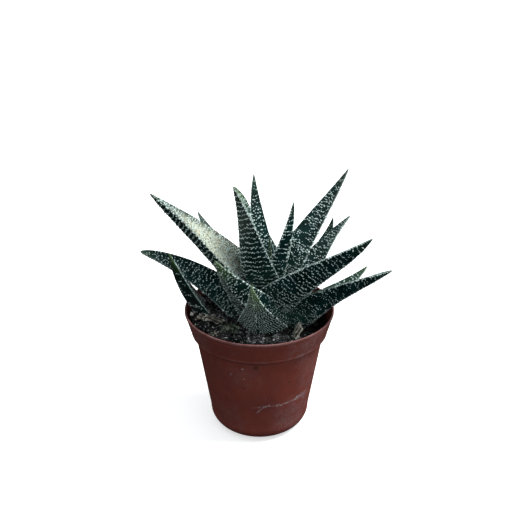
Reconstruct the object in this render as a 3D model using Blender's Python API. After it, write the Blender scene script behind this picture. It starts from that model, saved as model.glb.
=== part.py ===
"""A potted gasterhaworthia: a rosette of stiff keeled leaves with white tubercles, in a thin plastic pot.

Metres, +Z up, with the origin at the centre of the pot's flat base. The plant stands a little off the pot's
axis. Every leaf is its own solid. The inner leaves keep their whole shape, and each outer leaf is cut back to
lie close against them, against the stem and against the soil that buries its base.
"""

import math

import bmesh
import bpy
import numpy as np
from mathutils.bvhtree import BVHTree

SEAT = 0.0003  # clear width between pieces that touch
CUT_BACK = 0.00036  # how far a piece's cutter stands outside the piece
SOIL_HOLE_GROWTH = 0.0009  # how far the plain holes in the soil stand outside the leaves

# Pot
POT_HEIGHT = 0.0744
POT_SIDES = 36
RIM_RADIUS = 0.0425
LIP_HEIGHT = 0.0013
LIP_OVERHANG = 0.0005
COLLAR_HEIGHT = 0.0137
COLLAR_FOOT_RADIUS = 0.0392
BODY_TOP_RADIUS = 0.0369
BODY_FOOT_RADIUS = 0.0292
HEEL_RADIUS = 0.0092
WALL = 0.0010
EDGE = 0.0003  # the small bevels at the lip and the ledge
HEEL_STEPS = 3
DRAIN_HOLES = 5
DRAIN_HOLE_RADIUS = 0.0030
DRAIN_CIRCLE_RADIUS = 0.0135
DRAIN_HOLE_SIDES = 10

# Soil
SOIL_LEVEL = 0.0695
SOIL_RINGS = 8
SOIL_ROUGHNESS = 0.0007
SOIL_MOUNDS = (
    dict(centre=(-0.027, -0.011), height=0.0045, spread=0.0095),
    dict(centre=(-0.034, 0.002), height=0.0012, spread=0.0090),
    dict(centre=(-0.005, -0.032), height=0.0008, spread=0.0120),
    dict(centre=(0.031, -0.005), height=-0.0105, spread=0.0100),
)

# Stem, a short cone that the leaves clasp: (radius, height) from its foot to its top
STEM_AXIS = (0.0060, -0.0030)
STEM_SIDES = 16
STEM_CROWN = 0.0006  # rise of the stem's top over its last outline point
STEM_OUTLINE = (
    (0.0085, 0.0450),
    (0.0105, 0.0480),
    (0.0108, 0.0660),
    (0.0080, 0.0705),
    (0.0050, 0.0765),
    (0.0030, 0.0800),
    (0.0012, 0.0832),
)

# Leaves. Each springs from base and ends at tip. faces is the compass angle that it leans to. sets_off and
# arrives are the compass and climb angles of its middle line at the base and at the tip, and roll is the turn
# of its upper face about that line at both ends. depth, the keel's, is a share of the half width.
LEAF_PULL = 0.36  # share of the length over which the end angles hold
BASE_NECK = 0.35  # share of the width that a leaf loses at its very base
BASE_NECK_LENGTH = 0.22
CUP_LENGTH = 0.55  # share of the length over which the clasping curl dies out
ROUND_KEEL = 2.1  # power of the back's curve at the base
SHARP_KEEL = 1.2  # and from KEEL_LENGTH on
KEEL_LENGTH = 0.6
UPPER_HOLLOW = 0.08
BARE_SHARE = 0.15  # share of the length at the base that has no tubercles
LAST_ROW_SHARE = 0.95
BAND_PITCH = 0.0050  # between rows of tubercles
SMALL_LEAF_BAND_PITCH = 0.0070
TUBERCLE_HEIGHT = 0.0005
LOW_TUBERCLE = 0.3  # shares of that height
EDGE_TUBERCLE = 0.6
UPPER_TUBERCLE = 0.6
SMALL_LEAF_WIDTH = 0.0086
SOIL_HOLE_LENGTH = 0.6  # share of a leaf that its hole in the soil follows
SOIL_HOLE_RINGS = 8
LEAVES = {
    "leaf_youngest": dict(
        base=(0.0060, -0.0025, 0.0838), tip=(0.0055, 0.0040, 0.1185), faces=92,
        sets_off=(92, 85), arrives=(97, 73), roll=(0, 0),
        half_width=0.0019, taper=0.85, swell=0.6, depth=0.62, keel_shift=0.0, cup=0.5,
    ),
    "leaf_centre_left": dict(
        base=(0.0030, -0.0050, 0.0840), tip=(-0.0140, 0.0050, 0.1445), faces=161,
        sets_off=(160, 85), arrives=(188, 51), roll=(46, 12),
        half_width=0.0149, taper=0.85, swell=1.5, depth=0.70, keel_shift=-0.1, cup=0.6,
    ),
    "leaf_centre_right": dict(
        base=(0.0065, -0.0040, 0.0845), tip=(0.0180, -0.0085, 0.1410), faces=339,
        sets_off=(341, 81), arrives=(340, 84), roll=(-32, -12),
        half_width=0.0088, taper=0.85, swell=0.5, depth=0.62, keel_shift=0.0, cup=0.6,
    ),
    "leaf_centre_back": dict(
        base=(0.0055, 0.0000, 0.0800), tip=(-0.0030, 0.0220, 0.1465), faces=111,
        sets_off=(110, 81), arrives=(90, 66), roll=(1, 3),
        half_width=0.0077, taper=0.85, swell=0.5, depth=0.62, keel_shift=0.0, cup=0.4,
    ),
    "leaf_front": dict(
        base=(0.0030, -0.0120, 0.0605), tip=(-0.0040, -0.0475, 0.1125), faces=257,
        sets_off=(245, 74), arrives=(244, 72), roll=(2, -6),
        half_width=0.0182, taper=0.85, swell=-0.4, depth=0.58, keel_shift=0.0, cup=0.2,
    ),
    "leaf_right_low": dict(
        base=(0.0165, -0.0075, 0.0660), tip=(0.0695, -0.0240, 0.1085), faces=341,
        sets_off=(351, 55), arrives=(335, 25), roll=(-46, -14),
        half_width=0.0136, taper=0.85, swell=1.0, depth=0.66, keel_shift=-0.2, cup=0.2,
    ),
    "leaf_right": dict(
        base=(0.0090, -0.0070, 0.0745), tip=(0.0570, -0.0305, 0.1295), faces=333,
        sets_off=(311, 74), arrives=(346, 43), roll=(-30, -26),
        half_width=0.0157, taper=0.85, swell=1.0, depth=0.62, keel_shift=0.0, cup=0.6,
    ),
    "leaf_front_left": dict(
        base=(0.0125, -0.0075, 0.0630), tip=(-0.0225, -0.0320, 0.1180), faces=214,
        sets_off=(205, 53), arrives=(226, 56), roll=(57, 21),
        half_width=0.0156, taper=0.85, swell=0.5, depth=0.61, keel_shift=0.05, cup=-0.2,
    ),
    "leaf_back_inner": dict(
        base=(0.0095, 0.0025, 0.0775), tip=(0.0015, 0.0250, 0.1205), faces=102,
        sets_off=(78, 64), arrives=(80, 45), roll=(-10, 37),
        half_width=0.0092, taper=0.85, swell=0.9, depth=0.62, keel_shift=0.0, cup=0.5,
    ),
    "leaf_upper_right": dict(
        base=(0.0095, 0.0000, 0.0775), tip=(0.0510, 0.0325, 0.1460), faces=38,
        sets_off=(42, 75), arrives=(35, 51), roll=(18, -14),
        half_width=0.0105, taper=0.85, swell=0.8, depth=0.62, keel_shift=0.0, cup=0.4,
    ),
    "leaf_upper_left": dict(
        base=(0.0015, -0.0015, 0.0775), tip=(-0.0600, 0.0105, 0.1385), faces=167,
        sets_off=(163, 62), arrives=(175, 33), roll=(-10, 20),
        half_width=0.0127, taper=0.85, swell=1.7, depth=0.65, keel_shift=0.25, cup=0.7,
    ),
    "leaf_back_right": dict(
        base=(0.0130, 0.0015, 0.0715), tip=(0.0540, 0.0355, 0.1160), faces=39,
        sets_off=(34, 48), arrives=(30, 30), roll=(17, -27),
        half_width=0.0105, taper=0.85, swell=0.9, depth=0.62, keel_shift=0.0, cup=0.4,
    ),
    "leaf_left_low": dict(
        base=(-0.0040, -0.0035, 0.0655), tip=(-0.0650, -0.0025, 0.1095), faces=179,
        sets_off=(176, 59), arrives=(221, 27), roll=(-37, -14),
        half_width=0.0118, taper=0.60, swell=0.1, depth=0.62, keel_shift=0.0, cup=0.2,
    ),
    "leaf_left_half_buried": dict(
        base=(-0.0055, 0.0085, 0.0525), tip=(-0.0475, -0.0170, 0.1150), faces=211,
        sets_off=(188, 24), arrives=(223, 63), roll=(-14, -13),
        half_width=0.0091, taper=0.85, swell=2.3, depth=0.62, keel_shift=0.0, cup=-0.4,
    ),
    "leaf_back_right_small": dict(
        base=(0.0105, 0.0040, 0.0715), tip=(0.0445, 0.0445, 0.1115), faces=52,
        sets_off=(56, 54), arrives=(54, 76), roll=(-24, 0),
        half_width=0.0067, taper=0.85, swell=1.1, depth=0.62, keel_shift=0.0, cup=0.5,
    ),
    "leaf_right_low_small": dict(
        base=(0.0150, -0.0025, 0.0685), tip=(0.0630, 0.0175, 0.0915), faces=21,
        sets_off=(13, 41), arrives=(25, 42), roll=(-20, 8),
        half_width=0.0076, taper=0.85, swell=1.0, depth=0.62, keel_shift=0.0, cup=0.5,
    ),
    "leaf_back_left_small": dict(
        base=(0.0010, 0.0015, 0.0715), tip=(-0.0375, 0.0450, 0.1150), faces=131,
        sets_off=(125, 47), arrives=(124, 37), roll=(-1, 0),
        half_width=0.0081, taper=0.85, swell=0.6, depth=0.62, keel_shift=0.0, cup=0.5,
    ),
    "leaf_behind_right": dict(
        base=(0.0085, 0.0040, 0.0700), tip=(0.0180, 0.0500, 0.0990), faces=78,
        sets_off=(78, 45), arrives=(78, 20), roll=(0, 0),
        half_width=0.0085, taper=0.85, swell=0.8, depth=0.62, keel_shift=0.0, cup=0.5,
    ),
    "leaf_behind": dict(
        base=(0.0045, 0.0040, 0.0690), tip=(-0.0090, 0.0480, 0.1010), faces=106,
        sets_off=(106, 48), arrives=(106, 24), roll=(0, 0),
        half_width=0.0085, taper=0.85, swell=0.8, depth=0.62, keel_shift=0.0, cup=0.5,
    ),
    "leaf_behind_left": dict(
        base=(-0.0010, 0.0010, 0.0655), tip=(-0.0480, 0.0300, 0.0840), faces=150,
        sets_off=(150, 32), arrives=(150, 10), roll=(0, 0),
        half_width=0.0085, taper=0.85, swell=0.8, depth=0.62, keel_shift=0.0, cup=0.5,
    ),
}

# Loose things on the soil. A flake is a bent plate: size is its length, width and thickness, bend is the arc
# that it curls through, and turn is its compass angle and its two tilts. A lump is a rough ball.
FLAKE_SECTIONS = 5
FLAKE_POINTS = 4  # across each of its two faces
FLAKE_NARROWING = 0.9
FLAKES = {
    "bark_flake_long": dict(
        at=(-0.0250, -0.0165, 0.0752), size=(0.0105, 0.0045, 0.0013), bend=40, turn=(-26, 4, 10),
    ),
    "bark_chip_curled": dict(
        at=(-0.0325, -0.0135, 0.0752), size=(0.0045, 0.0075, 0.0012), bend=170, turn=(80, 0, 0),
    ),
    "bark_flake_upright": dict(
        at=(0.0205, -0.0255, 0.0722), size=(0.0085, 0.0050, 0.0012), bend=30, turn=(35, -62, 0),
    ),
    "bark_flake_small": dict(
        at=(-0.0238, -0.0262, 0.0716), size=(0.0055, 0.0040, 0.0012), bend=25, turn=(60, 0, 12),
    ),
    "bark_flake_back": dict(
        at=(-0.0130, 0.0320, 0.0700), size=(0.0090, 0.0050, 0.0013), bend=30, turn=(15, 6, 0),
    ),
}
LUMPS = {
    "pumice_pebble": dict(
        at=(-0.0372, -0.0062, 0.0722), size=(0.0020, 0.0020, 0.0017), roughness=0.10, seed=3,
    ),
    "fibre_clump_left": dict(
        at=(-0.0155, -0.0215, 0.0712), size=(0.0050, 0.0040, 0.0024), roughness=0.30, seed=5,
    ),
    "fibre_clump_front": dict(
        at=(-0.0005, -0.0315, 0.0704), size=(0.0062, 0.0036, 0.0020), roughness=0.30, seed=8,
    ),
    "fibre_clump_right": dict(
        at=(0.0110, -0.0300, 0.0695), size=(0.0046, 0.0038, 0.0022), roughness=0.30, seed=13,
    ),
}

# Finishes: base colour, linear, then roughness
LEAF_GREEN = ((0.024, 0.062, 0.050), 0.42)
YOUNG_LEAF_GREEN = ((0.060, 0.120, 0.070), 0.42)
STEM_GREEN = ((0.120, 0.150, 0.075), 0.60)
TERRACOTTA_PLASTIC = ((0.235, 0.068, 0.052), 0.55)
DARK_SOIL = ((0.022, 0.018, 0.016), 0.95)
GREY_BARK = ((0.130, 0.105, 0.085), 0.85)
DRY_FIBRE = ((0.110, 0.110, 0.100), 0.90)
PALE_PUMICE = ((0.560, 0.560, 0.550), 0.90)


def clear_scene():
    for obj in list(bpy.data.objects):
        bpy.data.objects.remove(obj)


def material(name, finish):
    """A plain Principled finish."""
    colour, roughness = finish
    made = bpy.data.materials.new(name)
    made.use_nodes = True
    shader = made.node_tree.nodes["Principled BSDF"]
    shader.inputs["Base Color"].default_value = (*colour, 1.0)
    shader.inputs["Roughness"].default_value = roughness
    shader.inputs["Metallic"].default_value = 0.0
    return made


def make_object(name, points, faces, finish=None):
    """One mesh object with its faces turned outwards, and with a material if it is a piece of the plant."""
    mesh = bpy.data.meshes.new(name)
    mesh.from_pydata(np.asarray(points, float).tolist(), [], faces)
    body = bmesh.new()
    body.from_mesh(mesh)
    bmesh.ops.recalc_face_normals(body, faces=body.faces)
    body.to_mesh(mesh)
    body.free()
    obj = bpy.data.objects.new(name, mesh)
    bpy.context.scene.collection.objects.link(obj)
    if finish:
        mesh.materials.append(finish)
    else:
        obj.hide_render = True
        obj.display_type = "WIRE"
    return obj


def turned_faces(rings, sides):
    """Faces of a turned body whose first and last points are poles on its axis."""
    last = 1 + (rings - 2) * sides
    faces = []
    for side in range(sides):
        following = (side + 1) % sides
        faces.append((0, 1 + side, 1 + following))
        faces.append((last, last - sides + following, last - sides + side))
    for ring in range(rings - 3):
        start = 1 + ring * sides
        for side in range(sides):
            following = (side + 1) % sides
            faces.append((start + side, start + sides + side, start + sides + following, start + following))
    return faces


def turned(outline, sides, axis=(0.0, 0.0)):
    """Points and faces of the (radius, height) outline turned about an upright axis, poles at both ends."""
    angles = 2 * math.pi * np.arange(sides) / sides
    points = [(axis[0], axis[1], outline[0][1])]
    for radius, height in outline[1:-1]:
        around = np.stack([axis[0] + radius * np.cos(angles), axis[1] + radius * np.sin(angles)], 1)
        points.extend((x, y, height) for x, y in around)
    points.append((axis[0], axis[1], outline[-1][1]))
    return points, turned_faces(len(outline), sides)


def heel(radius, height, size):
    """A quarter round from the wall at the given radius down to the floor at the given height."""
    angles = np.linspace(0, math.pi / 2, HEEL_STEPS + 1)
    return [(radius - size + size * math.cos(a), height + size - size * math.sin(a)) for a in angles]


def wall_radius(height, outer=True):
    """Radius of the pot's wall at a height, straight runs of the tapering body and of the collar above it."""
    ledge = POT_HEIGHT - COLLAR_HEIGHT
    inset = 0.0 if outer else WALL
    if height >= ledge + inset:
        share = (height - ledge) / COLLAR_HEIGHT
        top = RIM_RADIUS - LIP_OVERHANG
        return COLLAR_FOOT_RADIUS + (top - COLLAR_FOOT_RADIUS) * share - inset
    share = (height - HEEL_RADIUS) / (ledge - HEEL_RADIUS)
    return BODY_FOOT_RADIUS + (BODY_TOP_RADIUS - BODY_FOOT_RADIUS) * share - inset


def make_pot(finish):
    """The moulded shell: lip, flared collar, ledge, tapering body, round heel, flat floor and drain holes."""
    ledge = POT_HEIGHT - COLLAR_HEIGHT
    lip_foot = POT_HEIGHT - LIP_HEIGHT
    inner_ledge = ledge + WALL
    outline = [(0.0, WALL)]
    outline += heel(BODY_FOOT_RADIUS - WALL, WALL, HEEL_RADIUS - WALL)[::-1]
    outline += [
        (wall_radius(ledge, outer=False), ledge),
        (wall_radius(inner_ledge, outer=False), inner_ledge),
        (wall_radius(lip_foot, outer=False), lip_foot),
        (RIM_RADIUS - WALL - EDGE, POT_HEIGHT),
        (RIM_RADIUS - EDGE, POT_HEIGHT),
        (RIM_RADIUS, POT_HEIGHT - EDGE),
        (RIM_RADIUS, lip_foot),
        (RIM_RADIUS - LIP_OVERHANG, lip_foot - EDGE),
        (COLLAR_FOOT_RADIUS, ledge + EDGE),
        (COLLAR_FOOT_RADIUS - EDGE, ledge),
        (BODY_TOP_RADIUS, ledge - EDGE),
    ]
    outline += heel(BODY_FOOT_RADIUS, 0.0, HEEL_RADIUS)
    outline += [(0.0, 0.0)]
    pot = make_object("pot", *turned(outline, POT_SIDES), finish)
    for hole in range(DRAIN_HOLES):
        angle = 2 * math.pi * (hole + 0.5) / DRAIN_HOLES
        centre = (DRAIN_CIRCLE_RADIUS * math.cos(angle), DRAIN_CIRCLE_RADIUS * math.sin(angle))
        depth = 2 * WALL
        drill = [(0.0, depth), (DRAIN_HOLE_RADIUS, depth), (DRAIN_HOLE_RADIUS, -depth), (0.0, -depth)]
        cut_away(pot, make_object("drill", *turned(drill, DRAIN_HOLE_SIDES, centre)))
    remove_cutters()
    return pot


def soil_height(x, y):
    """Height of the soil: its level with a few mounds and a hollow, each a bell curve."""
    height = np.full(np.shape(x), SOIL_LEVEL)
    for mound in SOIL_MOUNDS:
        away = (x - mound["centre"][0]) ** 2 + (y - mound["centre"][1]) ** 2
        height = height + mound["height"] * np.exp(-away / (2 * mound["spread"] ** 2))
    return height


def make_soil(finish):
    """A plug of soil that fills the pot to the collar, its top rough with seeded lumps."""
    draw = np.random.default_rng(7)
    floor = WALL + SEAT
    ledge = POT_HEIGHT - COLLAR_HEIGHT
    angles = 2 * math.pi * np.arange(POT_SIDES) / POT_SIDES
    edge_radius = wall_radius(SOIL_LEVEL, outer=False) - SEAT
    points = [(0.0, 0.0, float(soil_height(0.0, 0.0)))]
    for ring in range(1, SOIL_RINGS + 1):
        radius = edge_radius * ring / SOIL_RINGS
        shift = math.pi / POT_SIDES * (ring % 2) * (ring < SOIL_RINGS)
        x = radius * np.cos(angles + shift)
        y = radius * np.sin(angles + shift)
        lumps = draw.uniform(-1, 1, POT_SIDES) * SOIL_ROUGHNESS
        if ring == SOIL_RINGS:
            z = np.full(POT_SIDES, SOIL_LEVEL)
        else:
            z = soil_height(x, y) + lumps
        points.extend(zip(x, y, z))
    side = [
        (wall_radius(ledge + WALL, outer=False) - SEAT, ledge + WALL + SEAT),
        (wall_radius(ledge, outer=False) - SEAT, ledge),
    ]
    side += heel(BODY_FOOT_RADIUS - WALL - SEAT, floor, HEEL_RADIUS - WALL)
    for radius, height in side:
        points.extend((radius * math.cos(a), radius * math.sin(a), height) for a in angles)
    points.append((0.0, 0.0, floor))
    rings = 2 + SOIL_RINGS + len(side)
    return make_object("soil", points, turned_faces(rings, POT_SIDES), finish)


def make_stem(finish):
    """The short stem in the middle of the rosette, whose foot stands in the soil."""
    outline = [(0.0, STEM_OUTLINE[0][1]), *STEM_OUTLINE, (0.0, STEM_OUTLINE[-1][1] + STEM_CROWN)]
    grown = [(0.0, outline[0][1] - CUT_BACK)]
    grown += [(radius + CUT_BACK, height) for radius, height in STEM_OUTLINE]
    grown[1] = (grown[1][0], grown[0][1])
    grown += [(STEM_OUTLINE[-1][0], outline[-1][1] + CUT_BACK), (0.0, outline[-1][1] + 2 * CUT_BACK)]
    stem = make_object("stem", *turned(outline, STEM_SIDES, STEM_AXIS), finish)
    return stem, make_object("stem_clearance", *turned(grown, STEM_SIDES, STEM_AXIS))


def heading(azimuth, elevation):
    """Unit vector at a compass angle from +X and a climb angle, both in degrees."""
    turn, climb = math.radians(azimuth), math.radians(elevation)
    return np.array([math.cos(climb) * math.cos(turn), math.cos(climb) * math.sin(turn), math.sin(climb)])


def unit(vectors):
    return vectors / np.linalg.norm(vectors, axis=-1, keepdims=True)


def leaf_line(leaf, share):
    """Points and directions of a leaf's middle line, a cubic curve through the base and the tip."""
    base, tip = np.array(leaf["base"]), np.array(leaf["tip"])
    pull = LEAF_PULL * np.linalg.norm(tip - base)
    leaving = base + pull * heading(*leaf["sets_off"])
    arriving = tip - pull * heading(*leaf["arrives"])
    t = np.asarray(share)[:, None]
    u = 1 - t
    points = u**3 * base + 3 * u**2 * t * leaving + 3 * u * t**2 * arriving + t**3 * tip
    along = u**2 * (leaving - base) + 2 * u * t * (arriving - leaving) + t**2 * (tip - arriving)
    return points, unit(along)


def leaf_rings(leaf, share, flank_points, face_points):
    """Rings of points round a leaf, one for each share of its length.

    Across the leaf, s runs from -1 at one margin to 1 at the other. The back drops from the margins to a
    keel, round near the base and sharp near the tip, and the upper face is slightly hollow. At the base both
    curl up at the margins, to clasp the stem.
    """
    share = np.asarray(share)
    middle, along = leaf_line(leaf, share)
    lean = math.radians(leaf["faces"])
    sideways = np.array([-math.sin(lean), math.cos(lean), 0.0])
    across = unit(sideways - (along @ sideways)[:, None] * along)
    up = np.cross(along, across)
    roll = np.radians(leaf["roll"][0] + (leaf["roll"][1] - leaf["roll"][0]) * share)[:, None]
    across, up = across * np.cos(roll) + up * np.sin(roll), up * np.cos(roll) - across * np.sin(roll)
    half = leaf["half_width"] * (1 - share) ** leaf["taper"] * (1 + leaf["swell"] * share)
    half = half * (1 - BASE_NECK * (1 - np.minimum(share / BASE_NECK_LENGTH, 1)) ** 2)
    cup = leaf["cup"] * np.clip(1 - share / CUP_LENGTH, 0, 1) ** 2
    sharpness = ROUND_KEEL + (SHARP_KEEL - ROUND_KEEL) * np.clip(share / KEEL_LENGTH, 0, 1)
    flank = np.linspace(0, 1, flank_points + 2)
    back = np.concatenate([flank[::-1] * -1, flank[1:]])
    face = np.linspace(1, -1, face_points + 2)[1:-1]
    shift = leaf["keel_shift"]
    s_back = np.where(back < 0, shift + back * (1 + shift), shift + back * (1 - shift))
    drop = leaf["depth"] * (1 - np.abs(back)[None] ** sharpness[:, None])
    s = np.concatenate([s_back, face])[None]
    offset = np.concatenate([drop, np.broadcast_to(UPPER_HOLLOW * (1 - face**2), (len(share), len(face)))], 1)
    sideways_part = s * half[:, None] * (1 - 0.25 * cup[:, None] * np.abs(s))
    upward_part = (cup[:, None] * s**2 - offset) * half[:, None]
    return middle[:, None] + across[:, None] * sideways_part[..., None] + up[:, None] * upward_part[..., None]


def outward(rings):
    """Vectors that lead out of the leaf at each ring point.

    They halve the angle between the two faces that meet there, and are as long as it takes to move both faces
    out by one unit, within reason at the thin margins.
    """
    after = unit(np.cross(np.roll(rings, -1, 1) - rings, np.gradient(rings, axis=0)))
    halfway = unit(after + np.roll(after, 1, 1))
    return halfway / np.maximum((halfway * after).sum(-1, keepdims=True), 0.2)


def tubercle_relief(shares, banded, flank_points, face_points):
    """Share of the full tubercle height at each ring point.

    Every second ring is a row. Along a row the high and low points alternate, and the next row starts the
    other way round. The margins and the keel stay fairly high in every row. The upper face has lower ones.
    """
    count = 2 * flank_points + 3 + face_points
    place = np.arange(count)
    relief = np.zeros((len(shares), count))
    for row, ring in enumerate(banded):
        relief[ring] = np.where((place + row) % 2, 1.0, LOW_TUBERCLE)
        relief[ring, 2 * flank_points + 3 :] *= UPPER_TUBERCLE
        relief[ring, [0, flank_points + 1, 2 * flank_points + 2]] = EDGE_TUBERCLE
        relief[ring] *= min(1.0, 4 * (1 - shares[ring]))
    return relief


def leaf_faces(rings, flank_points, face_points):
    """Triangles of the leaf's skin, split alike on its back and its upper face, and the base as one face."""
    count = 2 * flank_points + 3 + face_points
    back = 2 * flank_points + 2
    faces = [tuple(range(count))]
    for ring in range(rings - 1):
        for place in range(count):
            a, b = ring * count + place, ring * count + (place + 1) % count
            c, d = b + count, a + count
            faces += [(a, b, c), (a, c, d)] if place < back else [(a, b, d), (b, c, d)]
    tip = rings * count
    start = (rings - 1) * count
    faces += [(start + place, start + (place + 1) % count, tip) for place in range(count)]
    return faces


def make_leaf(name, leaf, finish):
    """A leaf with its relief, and the same leaf grown by the clear width, to cut its neighbours with."""
    small = leaf["half_width"] < SMALL_LEAF_WIDTH
    flank_points, face_points = (2, 3) if small else (2, 5)
    pitch = SMALL_LEAF_BAND_PITCH if small else BAND_PITCH
    length = np.linalg.norm(np.array(leaf["tip"]) - np.array(leaf["base"]))
    rows = max(3, round(length * (LAST_ROW_SHARE - BARE_SHARE) / pitch))
    shares = np.concatenate([[0, BARE_SHARE / 2], np.linspace(BARE_SHARE, LAST_ROW_SHARE, 2 * rows + 1)])
    banded = range(3, len(shares) - 1, 2)
    smooth = leaf_rings(leaf, shares, flank_points, face_points)
    away = outward(smooth)
    relief = tubercle_relief(shares, banded, flank_points, face_points) * TUBERCLE_HEIGHT
    skin = smooth + unit(away) * relief[..., None]
    tip = np.array(leaf["tip"])
    faces = leaf_faces(len(shares), flank_points, face_points)
    obj = make_object(name, np.vstack([skin.reshape(-1, 3), tip]), faces, finish)
    grown = skin + away * CUT_BACK
    grown[0] -= CUT_BACK * heading(*leaf["sets_off"])
    grown_tip = tip + 3 * CUT_BACK * heading(*leaf["arrives"])
    return obj, make_object(name + "_clearance", np.vstack([grown.reshape(-1, 3), grown_tip]), faces)


def soil_hole(name, leaf):
    """The plain hole that a leaf stands in: its lower half, eight-sided and a little wider than the leaf."""
    rings = leaf_rings(leaf, np.linspace(0, SOIL_HOLE_LENGTH, SOIL_HOLE_RINGS), 2, 1)
    rings = rings + outward(rings) * SOIL_HOLE_GROWTH
    rings[0] -= SOIL_HOLE_GROWTH * heading(*leaf["sets_off"])
    end = rings[-1].mean(0)
    return make_object(name + "_hole", np.vstack([rings.reshape(-1, 3), end]), leaf_faces(len(rings), 2, 1))


def turn_matrix(azimuth, pitch, roll):
    """Turns about X by roll, then about Y by pitch, then about Z by the compass angle, in degrees."""
    a, p, r = (math.radians(angle) for angle in (azimuth, pitch, roll))
    about_z = np.array([[math.cos(a), -math.sin(a), 0], [math.sin(a), math.cos(a), 0], [0, 0, 1]])
    about_y = np.array([[math.cos(p), 0, math.sin(p)], [0, 1, 0], [-math.sin(p), 0, math.cos(p)]])
    about_x = np.array([[1, 0, 0], [0, math.cos(r), -math.sin(r)], [0, math.sin(r), math.cos(r)]])
    return about_z @ about_y @ about_x


def flake_points(flake, growth=0.0):
    """A plate bent into an arc across its width, its ends a little narrower."""
    length, width, thickness = flake["size"]
    stations = np.linspace(-0.5, 0.5, FLAKE_SECTIONS)
    across = np.linspace(-0.5, 0.5, FLAKE_POINTS)
    arc = math.radians(flake["bend"])
    radius = width / arc
    points = []
    for station in stations:
        narrow = 1 - FLAKE_NARROWING * station**2
        for skin, order in ((1, across), (-1, across[::-1])):
            for share in order:
                angle = share * narrow * arc * (1 + 2 * growth / width)
                reach = radius + skin * (thickness / 2 + growth)
                points.append((
                    station * (length + 2 * growth),
                    reach * math.sin(angle),
                    reach * math.cos(angle) - radius,
                ))
    return np.array(points) @ turn_matrix(*flake["turn"]).T + flake["at"]


def make_flake(name, flake, finish):
    """A bark flake and its clearance copy."""
    count = 2 * FLAKE_POINTS
    rings = FLAKE_SECTIONS
    faces = [tuple(range(count)), tuple(range((rings - 1) * count, rings * count))]
    for ring in range(rings - 1):
        for place in range(count):
            a, b = ring * count + place, ring * count + (place + 1) % count
            faces.append((a, b, b + count, a + count))
    obj = make_object(name, flake_points(flake), faces, finish)
    return obj, make_object(name + "_clearance", flake_points(flake, CUT_BACK), faces)


def make_lump(name, lump, finish):
    """A rough ball, its radius varied by seeded draws, and its clearance copy."""
    draw = np.random.default_rng(lump["seed"])
    ball = bmesh.new()
    bmesh.ops.create_icosphere(ball, subdivisions=2, radius=1.0)
    directions = np.array([vertex.co for vertex in ball.verts])
    faces = [tuple(vertex.index for vertex in face.verts) for face in ball.faces]
    ball.free()
    reach = 1 + lump["roughness"] * draw.uniform(-1, 1, len(directions))[:, None]
    points = directions * reach * lump["size"] + lump["at"]
    obj = make_object(name, points, faces, finish)
    return obj, make_object(name + "_clearance", points + directions * 1.3 * CUT_BACK, faces)


def surface_tree(obj):
    body = bmesh.new()
    body.from_mesh(obj.data)
    tree = BVHTree.FromBMesh(body)
    body.free()
    return tree


def cut_away(obj, cutter):
    """Takes the cutter's volume out of the object and settles the result into its mesh.

    The leaves graze each other, where the exact solver leaves open edges, so the manifold solver does it.
    """
    if not surface_tree(obj).overlap(surface_tree(cutter)):
        return
    modifier = obj.modifiers.new("Clearance", "BOOLEAN")
    modifier.operation = "DIFFERENCE"
    modifier.solver = "MANIFOLD"
    modifier.object = cutter
    bpy.context.view_layer.update()
    mesh = bpy.data.meshes.new_from_object(obj.evaluated_get(bpy.context.evaluated_depsgraph_get()))
    obj.modifiers.clear()
    old = obj.data
    obj.data = mesh
    bpy.data.meshes.remove(old)


def keep_main_body(mesh):
    """Drops the scraps that the cuts leave loose."""
    body = bmesh.new()
    body.from_mesh(mesh)
    unseen = set(body.faces)
    pieces = []
    while unseen:
        front = [unseen.pop()]
        piece = set(front)
        while front:
            linked = {near for edge in front.pop().edges for near in edge.link_faces} & unseen
            unseen -= linked
            piece |= linked
            front.extend(linked)
        pieces.append(piece)
    pieces.sort(key=lambda piece: sum(face.calc_area() for face in piece))
    scraps = [face for piece in pieces[:-1] for face in piece]
    bmesh.ops.delete(body, geom=scraps, context="FACES")
    bmesh.ops.triangulate(body, faces=body.faces, quad_method="FIXED", ngon_method="EAR_CLIP")
    body.to_mesh(mesh)
    body.free()


def remove_cutters():
    for obj in [obj for obj in bpy.data.objects if obj.hide_render]:
        bpy.data.objects.remove(obj)


def main():
    clear_scene()
    make_pot(material("pot", TERRACOTTA_PLASTIC))
    soil = make_soil(material("soil", DARK_SOIL))
    stem, stem_cutter = make_stem(material("stem", STEM_GREEN))
    cut_away(soil, stem_cutter)
    placed = [stem_cutter]
    for name, leaf in LEAVES.items():
        tint = YOUNG_LEAF_GREEN if name == "leaf_youngest" else LEAF_GREEN
        obj, cutter = make_leaf(name, leaf, material(name, tint))
        for neighbour in placed:
            cut_away(obj, neighbour)
        keep_main_body(obj.data)
        cut_away(soil, soil_hole(name, leaf))
        placed.append(cutter)
    for name, flake in FLAKES.items():
        obj, cutter = make_flake(name, flake, material(name, GREY_BARK))
        cut_away(soil, cutter)
    for name, lump in LUMPS.items():
        tint = PALE_PUMICE if name == "pumice_pebble" else DRY_FIBRE
        obj, cutter = make_lump(name, lump, material(name, tint))
        cut_away(soil, cutter)
    keep_main_body(soil.data)
    remove_cutters()
    for obj in bpy.data.objects:
        obj.data.shade_smooth()
        obj.data.set_sharp_from_angle(angle=math.radians(40))


main()
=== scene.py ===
import math

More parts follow.
